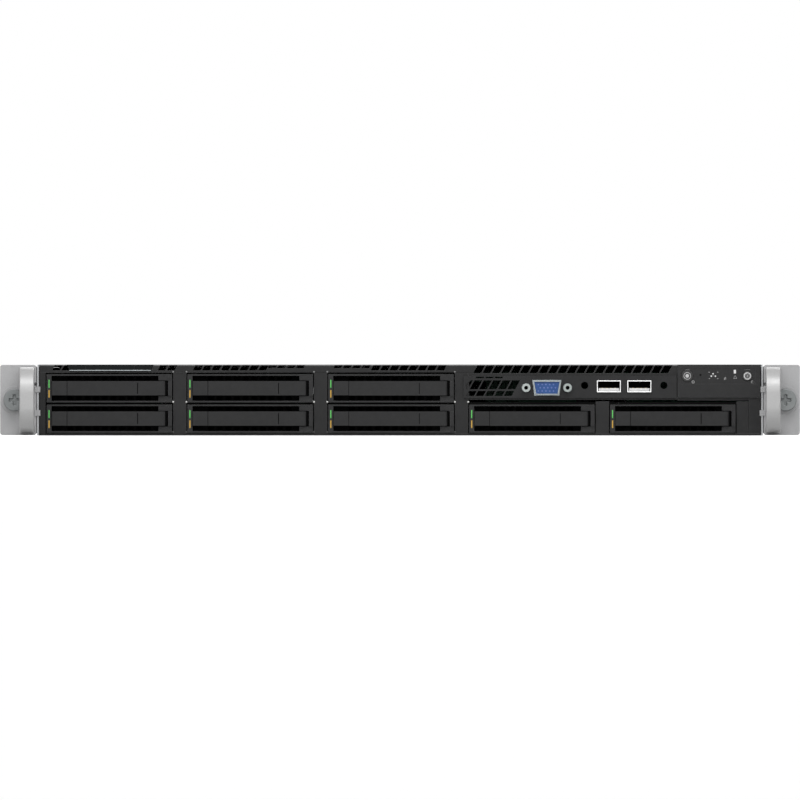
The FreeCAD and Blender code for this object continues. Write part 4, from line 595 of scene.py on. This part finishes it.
port_metal = plated_steel("port_nickel", (0.28, 0.31, 0.32), (0.36, 0.39, 0.40), 0.26, 0.36)
jack_steel = plated_steel("jack_screw_zinc", (0.28, 0.31, 0.30), (0.36, 0.39, 0.38), 0.3, 0.4)
port_blue = moulded("display_port_blue", (0.018, 0.060, 0.20), (0.026, 0.078, 0.24), 0.35)
contact_pale = moulded("contact_socket", (0.09, 0.14, 0.36), (0.13, 0.18, 0.42), 0.3)
dress("vga_port", 0.0002, [port_metal, port_blue, jack_steel, painted_shade_black], port_finish)
CONTACT_PITCH = 2.29
CONTACT_SHIFT = 0.57
CONTACT_ROW = 1.98
CONTACT_FACE = -8.62
CONTACT_RADIUS = 0.45
CONTACT_LENGTH = 0.1
PORT_MIDDLE = 7.4
port_low, port_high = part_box("vga_port")
across = (port_low.x + port_high.x) / 2 / MM
contacts = bmesh.new()
for row in (-1, 0, 1):
    shift = CONTACT_SHIFT if row == 0 else -CONTACT_SHIFT
    for place in range(-2, 3):
        spot = (across + place * CONTACT_PITCH + shift, CONTACT_FACE, PORT_MIDDLE + row * CONTACT_ROW)
        drum(contacts, "Y", spot, CONTACT_RADIUS, CONTACT_LENGTH, sides=12)
close_and_soften(contacts, 0.0)
show("display_contacts", contacts, "chassis", [contact_pale])

# The two serial bus ports are bright folded shells with a white tongue, and four gilt contacts lie on
# each tongue.


def within(low, high, spot, margin):
    """Whether a spot lies further than a margin inside a solid's four sides, seen from the front."""
    return min(spot.x - low.x, high.x - spot.x, spot.z - low.z, high.z - spot.z) > margin


TONGUE_THICKEST = 3.0
SHELL_MARGIN = 0.48
SHELL_RIM = 0.2


def bus_finish(low, high, face):
    """The white tongue, painted shade inside the shell, or its bright outside."""
    if high.z - low.z < TONGUE_THICKEST * MM:
        return 1
    spot = face.calc_center_median()
    return 2 if spot.y > low.y + SHELL_RIM * MM and within(low, high, spot, SHELL_MARGIN * MM) else 0


bright_metal = plated_steel("bus_shell", (0.88, 0.88, 0.88), (0.95, 0.95, 0.95), 0.25, 0.35)
port_white = moulded("bus_port_white", (0.62, 0.62, 0.62), (0.70, 0.70, 0.70), 0.4)
gold = plated_steel("contact_gold", (0.72, 0.50, 0.18), (0.85, 0.62, 0.26), 0.2, 0.3)
dress("usb_ports", 0.00015, [bright_metal, port_white, painted_shade_black], bus_finish)
BUS_WIDTH = 14.5
STRIP_PITCH = 2.5
STRIP_HALF = 0.5
STRIP_ENDS = (-4.8, 3.0)
STRIP_LEVELS = (7.1, 7.25)
bus_low, bus_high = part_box("usb_ports")
strips = bmesh.new()
for left in (bus_low.x / MM, bus_high.x / MM - BUS_WIDTH):
    for place in (-1.5, -0.5, 0.5, 1.5):
        middle = left + BUS_WIDTH / 2 + place * STRIP_PITCH
        brick(strips, (middle - STRIP_HALF, STRIP_ENDS[0], STRIP_LEVELS[0]),
              (middle + STRIP_HALF, STRIP_ENDS[1], STRIP_LEVELS[1]))
close_and_soften(strips, 0.0)
show("bus_contacts", strips, "chassis", [gold])

# The control panel is a black moulding with small unlit lamps, and a painted highlight along its broken
# edges. The marks are printed on its sunk field in a pale and a grey ink, beside the hole of the reset pin,
# which is a dark disc of painted shade.


def by_width(limit, narrow, wide):
    """Gives a node's solids one finish if they are narrower than a limit, and another if they aren't."""
    return lambda low, high, face: narrow if high.x - low.x < limit * MM else wide


def ring(work, across, up, inner, outer, front, back, sides=28, turn=math.tau, start=0.0):
    """A flat ring or arc about a line that runs front to back, in millimetres."""
    corners = [work.verts.new(((across + out * math.cos(start)) * MM, deep * MM,
                               (up + out * math.sin(start)) * MM))
               for out, deep in ((inner, front), (outer, front), (outer, back), (inner, back))]
    rim = [work.edges.new((corners[index - 1], corners[index])) for index in range(4)]
    whole = turn >= math.tau
    if not whole:
        work.faces.new(corners)
    swept = bmesh.ops.spin(work, geom=corners + rim, cent=(across * MM, 0.0, up * MM), axis=(0.0, -1.0, 0.0),
                           angle=turn, steps=sides, use_merge=whole)
    if not whole:
        last = [item for item in swept["geom_last"] if isinstance(item, bmesh.types.BMVert)]
        bmesh.ops.contextual_create(work, geom=last)


def plate(work, corners, front, back):
    """A flat plate with any outline, in millimetres, its corners given as across and up."""
    outline = [work.verts.new((across * MM, back * MM, up * MM)) for across, up in corners]
    sheet = work.faces.new(outline)
    raised = bmesh.ops.extrude_face_region(work, geom=[sheet])["geom"]
    bmesh.ops.translate(work, vec=(0.0, (front - back) * MM, 0.0),
                        verts=[item for item in raised if isinstance(item, bmesh.types.BMVert)])


control_black = moulded("control_black", (0.0095, 0.0095, 0.01), (0.0125, 0.0125, 0.013))
pale_mark = moulded("pale_mark", (0.62, 0.62, 0.62), (0.70, 0.70, 0.70), 0.45)
grey_mark = moulded("grey_mark", (0.22, 0.22, 0.22), (0.28, 0.28, 0.28), 0.45)
lamp_grey = moulded("unlit_lamp", (0.05, 0.05, 0.05), (0.07, 0.07, 0.07), 0.25)
dress("control_panel", 0.00025, [control_black, lamp_grey, moulding_edge_highlight], by_width(3.0, 1, 0), painted_highlight=2)

# The marks were measured with the panel's left edge at MEASURED_LEFT, and move with that edge. INK is
# where the face of most of them lies, just proud of the field, and ROOT is how deep they reach into it.
MEASURED_LEFT = 167.6
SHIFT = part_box("control_panel")[0].x / MM - MEASURED_LEFT
FIELD = -4.85
INK = FIELD - 0.05
ROOT = FIELD + 0.05
DOTS = ((188.9, 15.8), (187.8, 14.4), (190.3, 14.4))
DASHES = ((186.5, 16.75), (191.7, 16.75), (186.7, 12.9), (191.7, 12.9))
DASH_HALF = (0.4, 0.22)
UPRIGHT = ((201.4, 16.0), (202.7, 16.0), (202.7, 18.2), (201.4, 18.2))
SLANTED = ((195.5, 12.2), (196.2, 12.2), (196.7, 13.8), (196.0, 13.8))
TRIANGLE = ((201.2, 13.0), (203.2, 13.0), (202.2, 14.8))
TRIANGLE_HALF_LINE = 0.13
ARCS = ((209.6, 14.5), (173.3, 14.55))
ARC_RADII = (3.84, 3.98)
ARC_TURN = math.radians(50)
ARC_START = math.radians(65)
LEFT_RING = 176.9
RIGHT_RING = 212.7
RING_LEVEL = 10.9
RING_BORE = 0.6
PIN_HOLE = (181.3, 15.1)
pale = bmesh.new()
for across, up in DOTS:
    drum(pale, "Y", (across + SHIFT, FIELD - 0.02, up), 0.45, 0.12, sides=16)
plate(pale, [(across + SHIFT, up) for across, up in UPRIGHT], FIELD - 0.08, ROOT)
close_and_soften(pale, 0.00004)
show("pale_field_marks", pale, "chassis", [pale_mark])

faint = bmesh.new()
plate(faint, [(across + SHIFT, up) for across, up in SLANTED], FIELD - 0.08, ROOT)
ring(faint, LEFT_RING + SHIFT, RING_LEVEL, RING_BORE, 0.92, FIELD - 0.06, ROOT)
for across, up in DASHES:
    brick(faint, (across + SHIFT - DASH_HALF[0], INK, up - DASH_HALF[1]),
          (across + SHIFT + DASH_HALF[0], ROOT, up + DASH_HALF[1]))
for across, up in ARCS:
    ring(faint, across + SHIFT, up, *ARC_RADII, INK, ROOT, 12, ARC_TURN, ARC_START)
ring(faint, RIGHT_RING + SHIFT, RING_LEVEL, RING_BORE, 0.9, INK, ROOT)
for number, start in enumerate(TRIANGLE):
    end = TRIANGLE[(number + 1) % len(TRIANGLE)]
    run = Vector((end[0] - start[0], end[1] - start[1]))
    side = Vector((-run.y, run.x)).normalized() * TRIANGLE_HALF_LINE
    plate(faint, [(start[0] + SHIFT + side.x, start[1] + side.y),
                  (start[0] + SHIFT - side.x, start[1] - side.y),
                  (end[0] + SHIFT - side.x, end[1] - side.y),
                  (end[0] + SHIFT + side.x, end[1] + side.y)], INK, ROOT)
close_and_soften(faint, 0.0)
show("faint_field_marks", faint, "chassis", [grey_mark])

# The reset pin's hole is a thin dark disc of painted shade on the field.
pin_hole = bmesh.new()
drum(pin_hole, "Y", (PIN_HOLE[0] + SHIFT, FIELD, PIN_HOLE[1]), 0.6, 0.06, sides=20)
close_and_soften(pin_hole, 0.0)
show("reset_pin_hole", pin_hole, "chassis", [painted_shade_black])

# Both buttons are dark caps with pale marks on their face, which press in with them: a ring round a grey
# disc and a short upright bar on the power button, and a plain disc and ring on the identity button.
power_dark = moulded("power_button_dark", (0.03, 0.03, 0.03), (0.04, 0.04, 0.04), 0.4)
ident_dark = moulded("ident_button_dark", (0.03, 0.03, 0.03), (0.04, 0.04, 0.04), 0.4)
button_grey = moulded("power_button_grey", (0.09, 0.09, 0.09), (0.12, 0.12, 0.12), 0.35)
button_pale = moulded("button_pale", (0.45, 0.45, 0.45), (0.52, 0.52, 0.52), 0.35)
dress("power_button", 0.0003, [power_dark])
dress("id_button", 0.0003, [ident_dark])
KEY_ROOT = -5.15
low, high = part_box("power_button")
across, up = (low.x + high.x) / 2 / MM, (low.z + high.z) / 2 / MM
power_ring = bmesh.new()
ring(power_ring, across, up, 1.55, 2.25, -5.54, KEY_ROOT, 36)
brick(power_ring, (across - 0.15, -5.3, up - 0.6), (across + 0.15, KEY_ROOT, up + 0.6))
close_and_soften(power_ring, 0.00005)
show("power_mark", power_ring, "power_key", [button_pale])
power_disc = bmesh.new()
drum(power_disc, "Y", (across, -5.2, up), 1.5, 0.12, sides=32)
close_and_soften(power_disc, 0.0)
show("power_disc", power_disc, "power_key", [button_grey])
low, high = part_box("id_button")
across, up = (low.x + high.x) / 2 / MM, (low.z + high.z) / 2 / MM
ident_ring = bmesh.new()
ring(ident_ring, across, up, 1.9, 2.2, -5.28, KEY_ROOT, 36)
drum(ident_ring, "Y", (across, -5.22, up), 1.1, 0.12, sides=28)
close_and_soften(ident_ring, 0.00003)
show("ident_mark", ident_ring, "ident_key", [button_pale])

# The tag is a smooth dark moulding, with a painted highlight along its broken edges. A narrow strip of
# painted highlight runs along its lower edge.
tag_black = moulded("tag_black", (0.0035, 0.0045, 0.005), (0.005, 0.0065, 0.007), 0.35, 0.1)
tag_edge_highlight = moulded("tag_edge_painted_highlight", (0.05, 0.055, 0.055), (0.07, 0.075, 0.075), 0.35)
tag_line_highlight = moulded("tag_lower_edge_highlight", (0.34, 0.37, 0.38), (0.42, 0.45, 0.46), 0.35)
dress("tag_tray", 0.0003, [tag_black, tag_edge_highlight], painted_highlight=1)
# The strip along the tag's lower edge is a painted highlight, a thin pale plate on its front.
LINE_FOOT = (1.25, 0.03)
LINE_HEAD = (1.0, 0.5)
LINE_FRONT = -5.0
LINE_BACK = -4.4
low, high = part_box("tag_tray")
left, right, bottom = low.x / MM, high.x / MM, low.z / MM
lip_highlight = bmesh.new()
plate(lip_highlight, [(left + LINE_FOOT[0], bottom + LINE_FOOT[1]),
                 (right - LINE_FOOT[0], bottom + LINE_FOOT[1]),
                 (right - LINE_HEAD[0], bottom + LINE_HEAD[1]),
                 (left + LINE_HEAD[0], bottom + LINE_HEAD[1])], LINE_FRONT, LINE_BACK)
close_and_soften(lip_highlight, 0.0001)
show("tag_lower_edge_highlight", lip_highlight, "tag", [tag_line_highlight])

# Behind the drives come the backplane with its sockets, six fans in black moulded housings, a black air
# duct and two finned coolers of plain aluminium. Headed steel studs on both sides of the tray are what
# slide rails hold.
board_green = moulded("board_mask", (0.01, 0.07, 0.03), (0.015, 0.10, 0.045), 0.4)
duct_black = moulded("duct_black", (0.012, 0.012, 0.012), (0.018, 0.018, 0.018), 0.55)
rotor_grey = moulded("rotor_grey", (0.035, 0.035, 0.036), (0.045, 0.045, 0.046), 0.45)
cooler_metal = plated_steel("cooler_aluminium", (0.66, 0.67, 0.68), (0.74, 0.75, 0.76), 0.3, 0.42)
chip_black = moulded("chip_black", (0.014, 0.014, 0.015), (0.02, 0.02, 0.021), 0.4)
dress("drive_backplane", 0.0001, [board_green, chip_black], by_width(60.0, 1, 0))
dress("fan_housings", 0.0003, [duct_black])
for number in range(1, 7):
    dress(f"fan_rotor_{number}", 0.0002, [rotor_grey])
dress("heatsinks", 0.0, [cooler_metal])
dress("air_duct", 0.0003, [duct_black])
dress("rail_studs", 0.0003, [screw_steel])

# The main board is green on brass standoffs, with black sockets, and plated ports at the rear with a
# blue insert in the display port.
STANDOFF_TOP = -17.0
BOARD_NARROWEST = 100.0
SOCKETS_END = 520.0
SOCKET_TALLEST = 2.5
BLUE_WIDTHS = (14.0, 16.0)
BLUE_BACK = 708.0


def board_finish(low, high, face):
    """Board, brass standoff, black socket, plated shell or blue insert, told by size and place."""
    if high.z < STANDOFF_TOP * MM:
        return 1
    if high.x - low.x > BOARD_NARROWEST * MM:
        return 0
    if high.y < SOCKETS_END * MM or high.z - low.z < SOCKET_TALLEST * MM:
        return 2
    blue = BLUE_WIDTHS[0] * MM < high.x - low.x < BLUE_WIDTHS[1] * MM and high.y > BLUE_BACK * MM
    return 4 if blue else 3


brass = plated_steel("standoff_brass", (0.55, 0.42, 0.20), (0.65, 0.50, 0.26))
dress("system_board", 0.00015, [board_green, brass, chip_black, port_metal, port_blue], board_finish)

# The memory modules are thin green boards that stand in black sockets, each with a row of nine black
# chips on both sides.
MODULE_THICKEST = 3.0
MEMORY_CHIP = 10.0
MEMORY_CHIP_PITCH = 14.2
MEMORY_CHIP_START = 4.5
MEMORY_CHIP_PROUD = 0.8
MEMORY_CHIP_LEVELS = (-4.0, 8.0)
dress("memory_modules", 0.0, [board_green, chip_black], by_width(MODULE_THICKEST, 0, 1))
memory_chips = bmesh.new()
modules = bmesh.new()
modules.from_mesh(frame["nodes"]["memory_modules"].data)
bmesh.ops.remove_doubles(modules, verts=modules.verts, dist=MERGED)
for solid, low, high in loose_solids(modules):
    if high.x - low.x < MODULE_THICKEST * MM:
        left, right = low.x / MM - MEMORY_CHIP_PROUD, high.x / MM + MEMORY_CHIP_PROUD
        for place in range(9):
            start = low.y / MM + MEMORY_CHIP_START + place * MEMORY_CHIP_PITCH
            brick(memory_chips, (left, start, MEMORY_CHIP_LEVELS[0]),
                  (right, start + MEMORY_CHIP, MEMORY_CHIP_LEVELS[1]))
modules.free()
close_and_soften(memory_chips, 0.0)
show("memory_chips", memory_chips, "chassis", [chip_black])

# The board also carries flat black chips, a row of grey coils and one of aluminium capacitors behind
# each cooler, and a line of smaller capacitors behind those.
BOARD_TOP = -15.4
CHIPS = ((-40.0, 455.0, 32.0, 32.0, 2.6), (20.0, 470.0, 18.0, 18.0, 1.6), (-120.0, 450.0, 14.0, 14.0, 1.5),
         (-150.0, 480.0, 20.0, 8.0, 1.4), (-60.0, 600.0, 24.0, 24.0, 2.0), (20.0, 620.0, 12.0, 16.0, 1.4),
         (-160.0, 620.0, 16.0, 16.0, 1.4), (100.0, 450.0, 16.0, 16.0, 1.6), (160.0, 440.0, 14.0, 20.0, 1.5),
         (-30.0, 520.0, 10.0, 8.0, 1.2), (0.0, 560.0, 9.0, 12.0, 1.2), (-150.0, 560.0, 12.0, 12.0, 1.2))
COIL_ROWS = (-107.0, 107.0)
COIL_START = 42.0
COIL_PITCH = 10.8
COIL_FRONT = 406.0
COIL = 8.0
COIL_TALL = 5.0
CAN_RADIUS = 3.0
CAN_TALL = 7.0
CAN_LINE = 421.0
SMALL_CANS = range(-180, 40, 22)
SMALL_CAN_RADIUS = 2.4
SMALL_CAN_TALL = 6.0
SMALL_CAN_LINE = 438.0
part_grey = moulded("coil_grey", (0.07, 0.07, 0.075), (0.10, 0.10, 0.105), 0.45)
chips = bmesh.new()
coils = bmesh.new()
cans = bmesh.new()
for left, front, width, length, tall in CHIPS:
    brick(chips, (left, front, BOARD_TOP), (left + width, front + length, BOARD_TOP + tall))
for middle in COIL_ROWS:
    for place in range(8):
        left = middle - COIL_START + place * COIL_PITCH
        brick(coils, (left, COIL_FRONT, BOARD_TOP), (left + COIL, COIL_FRONT + COIL, BOARD_TOP + COIL_TALL))
        spot = (left + COIL / 2, CAN_LINE, BOARD_TOP + CAN_TALL / 2)
        drum(cans, "Z", spot, CAN_RADIUS, CAN_TALL, sides=20)
for left in SMALL_CANS:
    spot = (left, SMALL_CAN_LINE, BOARD_TOP + SMALL_CAN_TALL / 2)
    drum(cans, "Z", spot, SMALL_CAN_RADIUS, SMALL_CAN_TALL, sides=20)
for name, work, material, soft in (("board_chips", chips, chip_black, 0.0002),
                                   ("board_coils", coils, part_grey, 0.0005),
                                   ("board_capacitors", cans, cooler_metal, 0.0003)):
    close_and_soften(work, soft)
    show(name, work, "chassis", [material])

# The two power supplies are plated steel boxes that plug in from the rear. Each has a black moulded
# grip, a dark mains inlet, a grille with a dark floor, and a green release latch.
GRIP_DEPTH = 23.0
GRIP_RIGHT = 5.0
INLET_DEPTHS = (25.5, 40.0)
INLET_MIDDLE = (16.5, -7.5)
INLET_HALF = (12.6, 8.9)
GRILLE_DEPTHS = (26.0, 28.0)


def supply_finish(low, high, face):
    """The supply's case, its black handle, and the dark grille floor and mains inlet."""
    spot = face.calc_center_median()
    across = spot.x - (low.x + high.x) / 2
    behind = high.y - spot.y
    if behind < GRIP_DEPTH * MM and across < GRIP_RIGHT * MM:
        return 1
    if (INLET_DEPTHS[0] * MM < behind < INLET_DEPTHS[1] * MM
            and abs(across - INLET_MIDDLE[0] * MM) < INLET_HALF[0] * MM
            and abs(spot.z - INLET_MIDDLE[1] * MM) < INLET_HALF[1] * MM):
        return 1
    floor_depth = GRILLE_DEPTHS[0] * MM < behind < GRILLE_DEPTHS[1] * MM
    return 1 if floor_depth and face.normal.y > FACING and across < 0.0 else 0


supply_metal = plated_steel("supply_case_steel", (0.31, 0.32, 0.325), (0.34, 0.35, 0.355), 0.45, 0.53)
supply_black = moulded("supply_black", (0.010, 0.010, 0.010), (0.014, 0.014, 0.014), 0.5)
latch_green = moulded("latch_green", (0.02, 0.20, 0.07), (0.03, 0.25, 0.09), 0.4)
for number in (1, 2):
    dress(f"power_supply_{number}", 0.0003, [supply_metal, supply_black], supply_finish)
    dress(f"psu_latch_{number}", 0.0004, [latch_green])

# The three network jacks are plated shells, black inside the mouth. Each has eight gilt wires and two
# small lamps, which are unlit.
MOUTH_MARGIN = 1.0
MOUTH_FLOOR = 2.0
MOUTH_RIM = 0.3
JACK_MIDDLE = 7.95
JACK_PITCH = 17.5
WIRE_PITCH = 1.02
WIRE_HALF = 0.2
WIRE_ENDS = (696.0, 705.0)
WIRE_LEVELS = (-12.2, -11.9)
LAMP_OUT = 5.2
LAMP_HALF = 1.3
LAMP_ENDS = (706.7, 706.95)
LAMP_LEVELS = (-4.4, -2.9)


def jack_finish(low, high, face):
    """The plated shell outside, black inside the mouth."""
    spot = face.calc_center_median()
    deep = low.y + MOUTH_FLOOR * MM < spot.y < high.y - MOUTH_RIM * MM
    return 1 if deep and within(low, high, spot, MOUTH_MARGIN * MM) else 0


dress("network_jacks", 0.0002, [port_metal, supply_black], jack_finish)
wires = bmesh.new()
lamps = bmesh.new()
for jack in range(3):
    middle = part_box("network_jacks")[0].x / MM + JACK_MIDDLE + jack * JACK_PITCH
    for wire in range(8):
        spot = middle + (wire - 3.5) * WIRE_PITCH
        brick(wires, (spot - WIRE_HALF, WIRE_ENDS[0], WIRE_LEVELS[0]),
              (spot + WIRE_HALF, WIRE_ENDS[1], WIRE_LEVELS[1]))
    for spot in (middle - LAMP_OUT, middle + LAMP_OUT):
        brick(lamps, (spot - LAMP_HALF, LAMP_ENDS[0], LAMP_LEVELS[0]),
              (spot + LAMP_HALF, LAMP_ENDS[1], LAMP_LEVELS[1]))
close_and_soften(wires, 0.0)
close_and_soften(lamps, 0.0)
show("jack_contacts", wires, "chassis", [gold])
show("jack_lamps", lamps, "chassis", [lamp_grey])

# The two risers are green boards with a black slot, beside the plated blanks that close the card slots
# in the rear wall.
BLANK_NARROWEST = 60.0
RISER_THICKEST = 2.4


def riser_finish(low, high, face):
    """The plated slot blanks, the green riser board and its black slot."""
    if high.x - low.x > BLANK_NARROWEST * MM:
        return 0
    return 1 if face.calc_center_median().x - low.x < RISER_THICKEST * MM else 2


dress("riser_cards", 0.0002, [supply_metal, board_green, chip_black], riser_finish)
